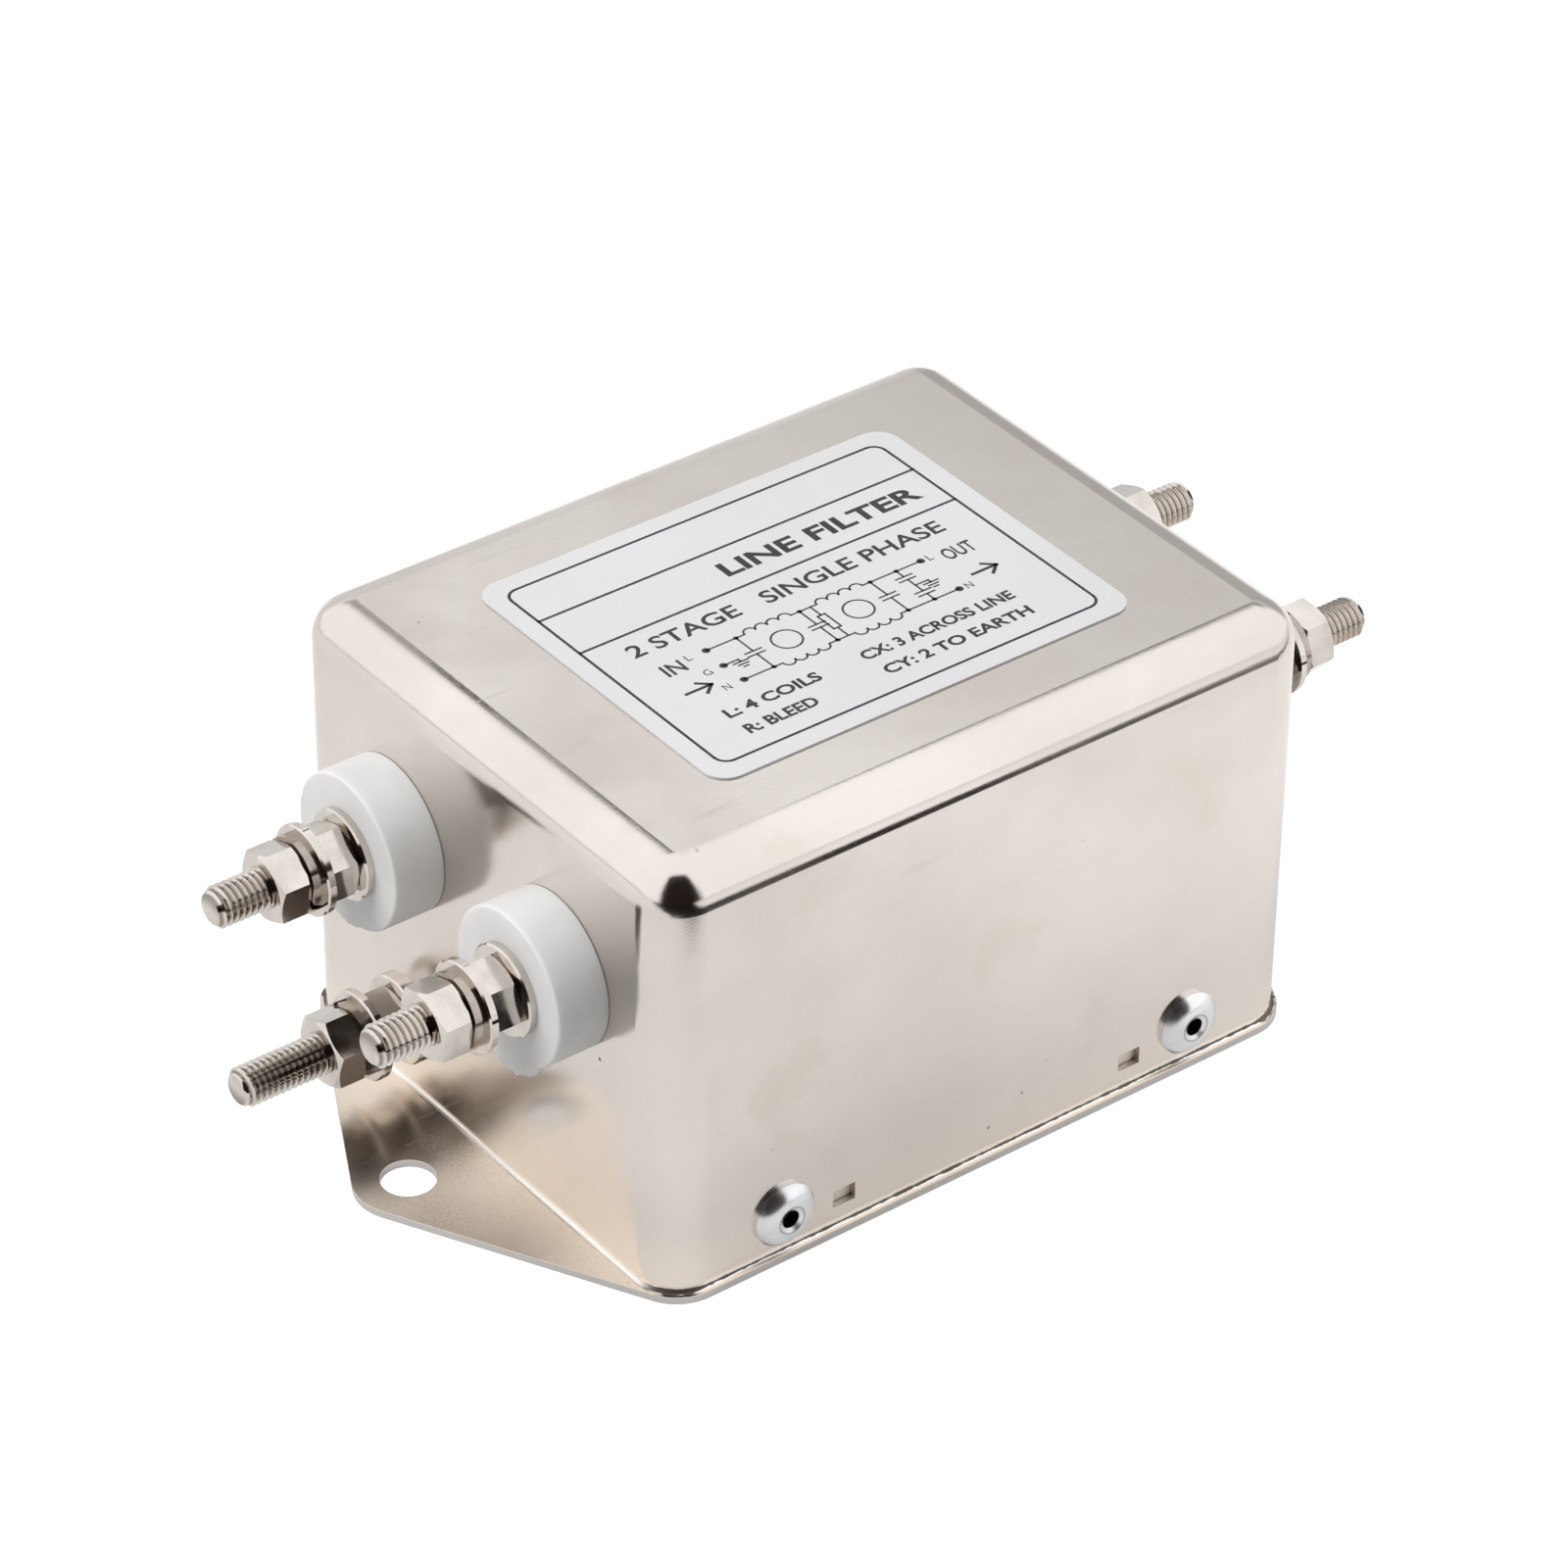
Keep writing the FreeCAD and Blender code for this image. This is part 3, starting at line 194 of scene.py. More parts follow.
class EffectShelf:
    """Builds each shared effect once, as a node group, and hands it out."""

    def __init__(self) -> None:
        """Start with no group built."""
        self.groups: dict[Effect, bpy.types.NodeTree] = {}

    def find(self, effect: Effect) -> bpy.types.NodeTree:
        """Hand out the group of an effect, built on its first use.

        Args:
            effect: Which effect.

        Returns:
            Its node group.
        """
        if effect not in self.groups:
            builders = {Effect.GRAIN: self.build_grain, Effect.SCUFFS: self.build_scuffs,
                        Effect.PITS: self.build_pits}
            self.groups[effect] = builders[effect]()
        return self.groups[effect]

    def start(self, effect: Effect, numbers: dict[str, float],
              outputs: Sequence[str]) -> tuple[Graph, Sequence[Socket], Sequence[Socket]]:
        """Make an empty group with its named sockets.

        Args:
            effect: The effect it is for.
            numbers: Its number inputs, with their usual values.
            outputs: Names of what it puts out.

        Returns:
            Its graph, the sockets to read from and the sockets to feed.
        """
        tree = bpy.data.node_groups.new(effect.value, "ShaderNodeTree")
        tree.interface.new_socket("Place", in_out="INPUT", socket_type="NodeSocketVector")
        for name, value in numbers.items():
            socket = tree.interface.new_socket(name, in_out="INPUT", socket_type="NodeSocketFloat")
            socket.default_value = value
        for name in outputs:
            tree.interface.new_socket(name, in_out="OUTPUT", socket_type="NodeSocketFloat")
        graph = Graph(tree)
        given = tree.nodes.new("NodeGroupInput").outputs
        return graph, given, tree.nodes.new("NodeGroupOutput").inputs

    def build_grain(self) -> bpy.types.NodeTree:
        """Build fine grain over soft clouds, as on plated or moulded surfaces.

        Returns:
            The group.
        """
        graph, given, out = self.start(
            Effect.GRAIN, {"Grain Scale": 2500.0, "Cloud Scale": 30.0}, ("Grain", "Clouds"))
        fine = graph.noise(given["Place"], given["Grain Scale"], 2.0, 0.6)
        broad = graph.noise(given["Place"], given["Cloud Scale"], 4.0, 0.55)
        graph.feed(out["Grain"], fine)
        graph.feed(out["Clouds"], graph.spread(broad, 0.3, 0.7))
        return graph.tree

    def build_scuffs(self) -> bpy.types.NodeTree:
        """Build sparse fine scratches that run in two directions.

        Returns:
            The group.
        """
        graph, given, out = self.start(Effect.SCUFFS, {"Scale": 60.0, "Amount": 0.5}, ("Mask",))
        masks = []
        for turn, stretch in ((0.5, 18.0), (2.1, 14.0)):
            turned = graph.add("Mapping", {"Vector": given["Place"],
                                           "Rotation": (turn, turn * 0.7, turn * 1.3),
                                           "Scale": (1.0, stretch, stretch)})
            lines = graph.noise(turned.outputs[0], given["Scale"], 2.0, 0.7)
            masks.append(graph.spread(lines, 0.66, 0.76))
        graph.feed(out["Mask"], graph.times(graph.most(*masks), given["Amount"]))
        return graph.tree

    def build_pits(self) -> bpy.types.NodeTree:
        """Build sparse tiny pits and specks of dirt.

        Returns:
            The group.
        """
        graph, given, out = self.start(Effect.PITS, {"Scale": 260.0, "Size": 0.09}, ("Mask",))
        cells = graph.add("TexVoronoi", {"Vector": given["Place"], "Scale": given["Scale"],
                                         "Randomness": 1.0})
        near = graph.math("LESS_THAN", cells.outputs["Distance"], given["Size"])
        rare = graph.noise(given["Place"], 90.0, 2.0, 0.5)
        graph.feed(out["Mask"], graph.times(near, graph.spread(rare, 0.55, 0.66)))
        return graph.tree


SHELF = EffectShelf()


class Canvas(Graph):
    """The tree of one material, with its shader and its Object coordinates."""

    def __init__(self, material: Material) -> None:
        """Put a Principled shader on a new material.

        Args:
            material: The material.
        """
        material.use_nodes = True
        super().__init__(material.node_tree)
        self.place = self.add("TexCoord").outputs["Object"]
        self.shader = self.add("BsdfPrincipled")
        self.add("OutputMaterial", {"Surface": self.shader.outputs[0]})

    def effect(self, effect: Effect, *numbers: float) -> Sequence[Socket]:
        """Lay a shared effect over the piece.

        Args:
            effect: Which effect.
            numbers: Its numbers, in the order of its sockets.

        Returns:
            What the effect puts out.
        """
        return self.add("Group", dict(enumerate((self.place, *numbers))),
                        node_tree=SHELF.find(effect)).outputs

    def paint(self, tone: Socket, sheen: Socket, metallic: float = 0.0) -> None:
        """Give the shader its colour and roughness.

        Args:
            tone: Base colour.
            sheen: Roughness.
            metallic: 1 for metal.
        """
        self.feed(self.shader.inputs["Base Color"], tone)
        self.feed(self.shader.inputs["Roughness"], sheen)
        self.shader.inputs["Metallic"].default_value = metallic

    def emboss(self, *layers: tuple[Socket, float]) -> None:
        """Bump the surface, each layer over the one before it.

        Args:
            layers: Height pattern from 0 to 1 and the depth of the full pattern.
        """
        normal = None
        for height, depth in layers:
            bump = self.add("Bump", {"Height": height, "Distance": depth, "Strength": 1.0})
            if normal:
                self.feed(bump.inputs["Normal"], normal)
            normal = bump.outputs[0]
        self.feed(self.shader.inputs["Normal"], normal)


class Finish:
    """A material that is made from nodes."""

    name: str

    def build(self) -> Material:
        """Make the material.

        Returns:
            The finished material.
        """
        material = bpy.data.materials.new(self.name)
        self.dress(Canvas(material))
        return material

    def dress(self, canvas: Canvas) -> None:
        """Wire the patterns of this finish into its shader."""
        raise NotImplementedError


@dataclass(frozen=True)
class PlatedSheet(Finish):
    """Satin nickel plating over drawn or folded steel sheet."""

    name: str
    bright: Colour = (0.795, 0.740, 0.695)
    dull: Colour = (0.725, 0.667, 0.618)
    stain: Colour = (0.690, 0.610, 0.505)
    speck: Colour = (0.16, 0.13, 0.11)
    polish: Pair = (0.085, 0.15)
    grain: Pair = (4200.0, 34.0)
    scuffs: Pair = (42.0, 0.6)
    pits: Pair = (240.0, 0.06)
    stain_scale: float = 55.0
    stain_ramp: Ramp = (0.56, 0.74, 0.0, 0.5)
    wave_scale: float = 95.0
    grain_depth: float = 0.0060 * MM
    wave_depth: float = 0.020 * MM

    def dress(self, canvas: Canvas) -> None:
        """Lay grain, soft clouds, faint stains, scratches and pits.

        Args:
            canvas: The material's tree.
        """
        grain, clouds = canvas.effect(Effect.GRAIN, *self.grain)
        [scuffs] = canvas.effect(Effect.SCUFFS, *self.scuffs)
        [pits] = canvas.effect(Effect.PITS, *self.pits)
        stains = canvas.noise(canvas.place, self.stain_scale, 4.0, 0.6)
        tone = canvas.blend(clouds, self.dull, self.bright)
        tone = canvas.blend(canvas.spread(stains, *self.stain_ramp), tone, self.stain)
        tone = canvas.blend(pits, tone, self.speck)
        sheen = canvas.plus(canvas.spread(clouds, 0.0, 1.0, *self.polish[::-1]),
                            canvas.times(grain, 0.06), canvas.times(scuffs, 0.12))
        tone, sheen = self.mark(canvas, tone, sheen)
        canvas.paint(tone, sheen, 1.0)
        waves = canvas.noise(canvas.place, self.wave_scale, 2.0, 0.4)
        canvas.emboss((waves, self.wave_depth), (grain, self.grain_depth))

    def mark(self, canvas: Canvas, tone: Socket, sheen: Socket) -> tuple[Socket, Socket]:
        """Leave plain sheet as it is."""
        return tone, sheen


@dataclass(frozen=True)
class CasePlating(PlatedSheet):
    """Case plating: painted light and shade low down, at the foot and in the stops, and a dark
    line in the foot bend.
    """

    foot_level: float = 1.27 * MM
    crease_width: Pair = (0.10 * MM, 0.24 * MM)
    corner: Pair = (38.5 * MM, 28.5 * MM)
    face: float = 35.0 * MM
    stop: Pair = (20.5 * MM, 4.7 * MM)
    stop_half: Pair = (1.55 * MM, 1.15 * MM)
    # Heights of the painted warm light, the rougher flange, the foot bend with its painted
    # highlight, and the painted shade on the sheet's edge.
    warm_light_ramp: Ramp = (12.0 * MM, 0.0, 0.0, 0.6)
    flange_ramp: Pair = (1.3 * MM, 1.0 * MM)
    bend_top: Pair = (1.75 * MM, 1.45 * MM)
    bend_bottom: Pair = (1.002 * MM, 1.03 * MM)
    edge_shade_ramp: Pair = (0.97 * MM, 0.80 * MM)
    # Colours of painted light and shade: warm light low on the case, a highlight along the foot
    # bend, shade on the sheet's cut edge, a highlight on each stop's lower edge and shade on its
    # other edges. The dark brown one is the line in the foot bend.
    painted_warm_light: Colour = (0.95, 0.855, 0.75)
    bend_highlight: Colour = (0.98, 0.93, 0.87)
    edge_shade: Colour = (0.60, 0.575, 0.56)
    crease_tint: Colour = (0.075, 0.055, 0.042)
    sill_highlight: Colour = (0.99, 0.95, 0.90)
    jamb_shade: Colour = (0.60, 0.52, 0.45)

    def mark(self, canvas: Canvas, tone: Socket, sheen: Socket) -> tuple[Socket, Socket]:
        """Paint light and shade on the lower case, the foot bend, the sheet's edge and the stops,
        and darken a line in the bend.

        Args:
            canvas: The material's tree.
            tone: Colour of the clean plating.
            sheen: Its roughness.

        Returns:
            Colour with the painted light and shade and the dark line, and roughness.
        """
        along, aside, level = canvas.split(canvas.place)
        spot = canvas.size(along), canvas.size(aside), level
        flange = canvas.spread(level, *self.flange_ramp)
        # Mask of the foot bend, which gets a painted highlight and a rougher finish.
        bend = canvas.times(canvas.spread(level, *self.bend_top),
                            canvas.spread(level, *self.bend_bottom))
        hollow_dark = self.foot_crease(canvas, spot)
        dark, sunken = self.stop_marks(canvas, spot)
        base = self.stop[1] - self.stop_half[1]
        # Lower edge of each stop, which gets a painted highlight.
        sill = canvas.times(sunken, canvas.spread(level, base + 0.05 * MM, base + 0.02 * MM))
        # Paint warm light low down, a highlight along the bend and shade on the sheet's edge, lay
        # the dark line in the bend, and paint a highlight on each stop's sill and shade on its
        # jambs.
        for share, tint in ((canvas.spread(level, *self.warm_light_ramp), self.painted_warm_light),
                            (bend, self.bend_highlight),
                            (canvas.spread(level, *self.edge_shade_ramp), self.edge_shade),
                            (canvas.times(hollow_dark, 0.9), self.crease_tint),
                            (sill, self.sill_highlight), (dark, self.jamb_shade)):
            tone = canvas.blend(share, tone, tint)
        soft = canvas.most(canvas.times(sunken, 0.42), canvas.times(flange, 0.10),
                           canvas.times(bend, 0.22), canvas.times(hollow_dark, 0.35))
        return tone, canvas.plus(sheen, soft)

    def foot_crease(self, canvas: Canvas, spot: Sequence[Socket]) -> Socket:
        """Find the dark line that sits in the bend above the flange.

        Args:
            canvas: The material's tree.
            spot: Distances from the middle along and across the case, and height.

        Returns:
            A mask that is 1 in the bend, wider around the upright corners.
        """
        along, aside, level = spot
        ends = canvas.spread(along, self.corner[0], self.corner[0] + 4.0 * MM)
        sides = canvas.spread(aside, self.corner[1], self.corner[1] + 4.0 * MM)
        width = canvas.spread(canvas.times(ends, sides), 0.0, 1.0, *self.crease_width)
        ragged = canvas.spread(canvas.noise(canvas.place, 700.0, 3.0, 0.6), 0.3, 0.7,
                               -0.05 * MM, 0.05 * MM)
        off = canvas.size(canvas.minus(level, self.foot_level))
        past = canvas.minus(canvas.plus(off, ragged), width)
        beside = canvas.spread(aside, self.corner[1] + 1.0 * MM, self.corner[1] + 4.0 * MM)
        return canvas.times(canvas.spread(past, 0.05 * MM, 0.0), beside)

    def stop_marks(self, canvas: Canvas, spot: Sequence[Socket]) -> tuple[Socket, Socket]:
        """Find the pressed stops and the painted shade on the edges inside them.

        Args:
            canvas: The material's tree.
            spot: Distances from the middle along and across the case, and height.

        Returns:
            A mask of the painted shade on the jambs and edges, and a mask of the whole recess.
        """
        along, aside, level = spot
        across = canvas.size(canvas.minus(along, self.stop[0]))
        above = canvas.minus(level, self.stop[1])
        deep = canvas.minus(self.face, aside)
        wide, tall = self.stop_half
        sunken = canvas.times(
            canvas.spread(across, wide + 0.06 * MM, wide + 0.02 * MM),
            canvas.spread(canvas.size(above), tall + 0.06 * MM, tall + 0.02 * MM),
            canvas.spread(deep, 0.03 * MM, 0.08 * MM))
        # Jambs, lintel and groove inside each stop get painted shade.
        jamb = canvas.times(canvas.spread(across, wide - 0.10 * MM, wide - 0.03 * MM),
                            canvas.spread(above, 0.05 * MM - tall, 0.15 * MM - tall))
        lintel = canvas.spread(above, tall - 0.22 * MM, tall - 0.10 * MM)
        groove = canvas.times(canvas.spread(above, 0.22 * MM - tall, 0.12 * MM - tall),
                              canvas.spread(deep, 0.72 * MM, 0.80 * MM))
        return canvas.times(canvas.most(jamb, lintel, groove), sunken), sunken


@dataclass(frozen=True)
class BrightMetal(Finish):
    """Bright plated or plain metal of turned, pressed and rolled small parts."""

    name: str
    bright: Colour = (0.74, 0.695, 0.65)
    dull: Colour = (0.63, 0.58, 0.53)
    polish: Pair = (0.07, 0.15)
    streaks: float = 0.3
    cloud_scale: float = 260.0

    def dress(self, canvas: Canvas) -> None:
        """Lay tumbled plating with scratches.

        Args:
            canvas: The material's tree.
        """
        grain, clouds = canvas.effect(Effect.GRAIN, 3800.0, self.cloud_scale)
        [scuffs] = canvas.effect(Effect.SCUFFS, 150.0, self.streaks)
        tone = self.darken(canvas, canvas.blend(clouds, self.dull, self.bright))
        sheen = canvas.spread(clouds, 0.0, 1.0, *self.polish[::-1])
        canvas.paint(tone, canvas.plus(sheen, canvas.times(scuffs, 0.15)), 1.0)
        canvas.emboss((scuffs, -0.004 * MM), (grain, 0.0012 * MM))

    def darken(self, canvas: Canvas, tone: Socket) -> Socket:
        """Leave the metal's colour as it is."""
        return tone


@dataclass(frozen=True)
class ThreadMetal(BrightMetal):
    """Bright metal, darker in the roots of its thread."""

    hollow_dark: Colour = (0.20, 0.165, 0.135)

    def darken(self, canvas: Canvas, tone: Socket) -> Socket:
        """Darken the thread's roots.

        Args:
            canvas: The material's tree.
            tone: Colour of the plain metal.

        Returns:
            The colour, darker in the roots.
        """
        height = canvas.add("Attribute", attribute_name=THREAD_DEPTH).outputs["Fac"]
        return canvas.blend(canvas.spread(height, 0.0, 0.55, 0.75, 0.0), tone, self.hollow_dark)


@dataclass(frozen=True)
class RivetMetal(BrightMetal):
    """Soft aluminium of the rivets; the dark mandrel and painted shade make the hole near black.
    """

    axis: Pair = (29.0 * MM, 6.3 * MM)
    hole: float = 1.18 * MM
    ring: float = 1.70 * MM
    # Near black of the mandrel hole: dark mandrel steel and painted shade in the hole; the groove
    # round the flat ring gets some of it too.
    hollow_dark: Colour = (0.030, 0.024, 0.020)

    def darken(self, canvas: Canvas, tone: Socket) -> Socket:
        """Darken the hole, for the mandrel and painted shade, and the groove around its flat ring.

        Args:
            canvas: The material's tree.
            tone: Colour of the plain metal.

        Returns:
            The colour with the dark hole and groove.
        """
        along, _, level = canvas.split(canvas.place)
        across = canvas.minus(canvas.size(along), self.axis[0])
        above = canvas.minus(level, self.axis[1])
        away = canvas.math("SQRT", canvas.plus(canvas.times(across, across),
                                               canvas.times(above, above)))
        inside = canvas.spread(away, self.hole, self.hole - 0.10 * MM)
        groove = canvas.spread(canvas.size(canvas.minus(away, self.ring)),
                               0.16 * MM, 0.04 * MM, 0.0, 0.45)
        # Near black in the hole, for the mandrel and painted shade, and darker along the groove.
        return canvas.blend(canvas.most(inside, groove), tone, self.hollow_dark)


@dataclass(frozen=True)
class Moulding(Finish):
    """Moulded or laminated insulating material."""

    name: str
    light: Colour
    shade: Colour
    polish: Pair = (0.42, 0.55)
    cloud_scale: float = 120.0
    glow: float = 0.0
    glow_depth: float = 1.2 * MM

    def dress(self, canvas: Canvas) -> None:
        """Lay soft mottling, a fine grain and a few specks.

        Args:
            canvas: The material's tree.
        """
        grain, clouds = canvas.effect(Effect.GRAIN, 2200.0, self.cloud_scale)
        [pits] = canvas.effect(Effect.PITS, 420.0, 0.07)
        speck = tuple(0.55 * part for part in self.shade)
        tone = canvas.blend(clouds, self.shade, self.light)
        tone = canvas.blend(canvas.times(pits, 0.5), tone, speck)
        canvas.paint(tone, canvas.spread(clouds, 0.0, 1.0, *self.polish))
        if self.glow:
            canvas.shader.inputs["Subsurface Weight"].default_value = self.glow
            canvas.shader.inputs["Subsurface Radius"].default_value = (1.0, 1.0, 1.0)
            canvas.shader.inputs["Subsurface Scale"].default_value = self.glow_depth
        canvas.emboss((grain, 0.004 * MM))


@dataclass(frozen=True)
class LabelFoil(Finish):
    """Satin white foil, slightly uneven where it is stuck down."""

    name: str = "label_foil"
    light: Colour = (0.765, 0.765, 0.777)
    shade: Colour = (0.728, 0.728, 0.741)

    def dress(self, canvas: Canvas) -> None:
        """Lay fine pigment grain, soft unevenness and slight handling marks.

        Args:
            canvas: The material's tree.
        """
        grain, clouds = canvas.effect(Effect.GRAIN, 2600.0, 45.0)
        [scuffs] = canvas.effect(Effect.SCUFFS, 55.0, 0.5)
        sheen = canvas.plus(canvas.spread(clouds, 0.0, 1.0, 0.42, 0.34), canvas.times(scuffs, 0.1))
        canvas.paint(canvas.blend(clouds, self.shade, self.light), sheen)
        canvas.emboss((clouds, 0.02 * MM), (grain, 0.002 * MM))


@dataclass(frozen=True)
class PrintInk(Finish):
    """Black print on the label, a little thin in places."""

    name: str = "label_ink"
    dense: Colour = (0.012, 0.012, 0.014)
    thin: Colour = (0.060, 0.060, 0.066)

    def dress(self, canvas: Canvas) -> None:
        """Vary the density of the print.

        Args:
            canvas: The material's tree.
        """
        grain, clouds = canvas.effect(Effect.GRAIN, 5000.0, 300.0)
        tone = canvas.blend(canvas.times(clouds, grain), self.dense, self.thin)
        canvas.paint(tone, canvas.spread(clouds, 0.0, 1.0, 0.35, 0.5))
        canvas.emboss((grain, 0.002 * MM))


FinishTable = tuple[tuple[Finish, tuple[str, ...]], ...]


# Pieces


def show(name: str, data: Any) -> Object:
    """Make an object of some data and link it to the scene.

    Args:
        name: Name of the object.
        data: Its mesh, curve, lamp or camera.

    Returns:
        The new object.
    """
    made = bpy.data.objects.new(name, data)
    bpy.context.scene.collection.objects.link(made)
    return made


def finish_piece(name: str, shape: Shape, material: Material,
                 smooth_below: float = 0.0) -> Object:
    """Turn a finished bmesh into a piece that rides on the filter, and report it.

    Args:
        name: Name of the piece.
        shape: Its mesh, in place.
        material: Its finish.
        smooth_below: Edges that turn by less than this angle are shaded smooth.

    Returns:
        The new object.
    """
    mesh = bpy.data.meshes.new(name)
    for face in shape.faces:
        face.smooth = smooth_below > 0.0
    for edge in shape.edges:
        if len(edge.link_faces) == 2:
            edge.smooth = edge.calc_face_angle(0.0) < smooth_below
    shape.to_mesh(mesh)
    shape.free()
    mesh.materials.append(material)
    piece = show(name, mesh)
    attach(piece, "root")
    log.info("%s: %d faces", name, len(mesh.polygons))
    return piece


@dataclass
class DressedNodes:
    """CAD nodes whose shape is right, so they only need their finishes."""

    finishes: FinishTable

    def dress(self) -> None:
        """Give each node the finish that is listed for the start of its name."""
        for finish, starts in self.finishes:
            material = finish.build()
            for node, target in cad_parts.items():
                if not node.startswith(starts):
                    continue
                if not target.material_slots:
                    target.data.materials.append(material)
                for slot in target.material_slots:
                    slot.material = material
                log.info("%s: %s", node, material.name)


@dataclass
class Casing(DressedNodes):
    """Case, cover, rivets and label."""

    finishes: FinishTable = (
        (CasePlating("case_plating"), ("case_shell",)),
        (PlatedSheet("cover_plating", (0.78, 0.725, 0.68), polish=(0.16, 0.26)),
         ("bottom_cover",)),
        (RivetMetal("rivet_aluminium", (0.86, 0.86, 0.87), (0.78, 0.78, 0.79),
                    (0.22, 0.32), 0.4, 220.0), ("cover_rivets",)),
        (LabelFoil(), ("rating_label",)))


@dataclass
class WallPart:
    """A part that stands out from an end wall, in place of its CAD node."""

    node: str
    ending: ClassVar[str]
    slot: ClassVar[str]

    def build(self, material: Material) -> Object:
        """Model the part along +X and set it in place.

        Args:
            material: Its finish.

        Returns:
            The part in place.
        """
        low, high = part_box(self.node)
        middle = (low + high) / 2
        inner, outer = sorted((abs(low.x), abs(high.x)))
        shape = bmesh.new()
        self.model(shape, inner, outer)
        turn = Matrix.Rotation(0.0 if middle.x > 0 else math.pi, 4, "Z")
        place = Matrix.Translation((0.0, middle.y, middle.z)) @ turn
        bmesh.ops.transform(shape, matrix=place, verts=shape.verts)
        self.wear(shape, middle, outer)
        piece = finish_piece(self.node + self.ending, shape, material, SMOOTH_BELOW)
        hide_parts(self.node)
        return piece

    def model(self, shape: Shape, inner: float, outer: float) -> None:
        """Model the part between two distances from the filter's middle."""
        raise NotImplementedError

    def wear(self, shape: Shape, middle: Vector, outer: float) -> None:
        """Leave the placed part as it was modelled."""


@dataclass
class ThreadedStud(WallPart):
    """A stud with its real thread."""

    ending: ClassVar[str] = "_thread"
    slot: ClassVar[str] = "stud"
    thread_radius: float = 2.5 * MM
    pitch: float = 0.8 * MM
    thread_depth: float = 0.44 * MM
    head_flats: float = 8.0 * MM
    head_height: float = 3.5 * MM
    tip_chamfer: float = 0.7 * MM
    thread_start: float = 4.0 * MM
    shank_gap: float = 0.02 * MM
    shank_overlap: float = 0.2 * MM
    steps: int = 36

    def model(self, shape: Shape, inner: float, outer: float) -> None:
        """Add the thread, then the head and shank behind it."""
        self.add_thread(shape, inner + self.head_height + self.thread_start, outer)
        self.add_head(shape, inner)

    def add_thread(self, shape: Shape, start: float, end: float) -> None:
        """Sweep one pitch of the thread's outline along the helix and trim both ends.

        Args:
            shape: Mesh to add to.
            start: Where the thread begins along X.
            end: Where the stud's tip lies.
        """
        crest, root = self.thread_radius, self.thread_radius - self.thread_depth
        outline = ((0.0, root), (0.12, root), (0.44, crest), (0.56, crest), (0.88, root),
                   (1.0, root))
        turns = math.ceil((end - start) / self.pitch) + 3
        points = [shape.verts.new((start + (share - 1.5) * self.pitch, radius, 0.0))
                  for share, radius in outline]
        line = [shape.edges.new(pair) for pair in zip(points, points[1:])]
        bmesh.ops.spin(shape, geom=points + line, cent=(0, 0, 0), axis=(1, 0, 0),
                       dvec=(self.pitch / self.steps, 0, 0), angle=2 * math.pi * turns,
                       steps=self.steps * turns, use_merge=False)
        bmesh.ops.remove_doubles(shape, verts=shape.verts, dist=MERGE_BELOW)
        for spot, normal in ((start, -1.0), (end, 1.0)):
            bmesh.ops.bisect_plane(
                shape, geom=shape.verts[:] + shape.edges[:] + shape.faces[:],
                dist=1e-7, plane_co=(spot, 0, 0), plane_no=(normal, 0, 0), clear_outer=True)
            rim = [edge for edge in shape.edges if edge.is_boundary
                   and all(abs(vert.co.x - spot) < SAME_SPOT for vert in edge.verts)]
            bmesh.ops.contextual_create(shape, geom=rim)
        depth = shape.verts.layers.float.new(THREAD_DEPTH)
        for vert in shape.verts:
            radius = math.hypot(vert.co.y, vert.co.z)
            vert[depth] = (radius - root) / (crest - root)
            limit = crest - self.tip_chamfer + max(0.0, end - vert.co.x)
            if radius > limit:
                vert.co.y *= limit / radius
                vert.co.z *= limit / radius
        bmesh.ops.recalc_face_normals(shape, faces=shape.faces)

    def add_head(self, shape: Shape, inner: float) -> None:
        """Add the hexagon head and the plain shank behind the thread.

        Args:
            shape: Mesh to add to.
            inner: Where the head's inner end lies along X.
        """
        depth = shape.verts.layers.float[THREAD_DEPTH]
        reach = self.head_flats / 2 / math.cos(math.pi / 6)
        shank = (self.thread_radius - self.shank_gap, 32, inner + self.head_height,
                 self.thread_start + self.shank_overlap)
        for radius, sides, base, length in ((reach, 6, inner, self.head_height), shank):
            place = (Matrix.Translation((base + length / 2, 0, 0))
                     @ Matrix.Rotation(math.pi / 2, 4, "Y"))
            made = bmesh.ops.create_cone(shape, cap_ends=True, segments=sides, radius1=radius,
                                         radius2=radius, depth=length, matrix=place)
            for vert in made["verts"]:
                vert[depth] = 1.0


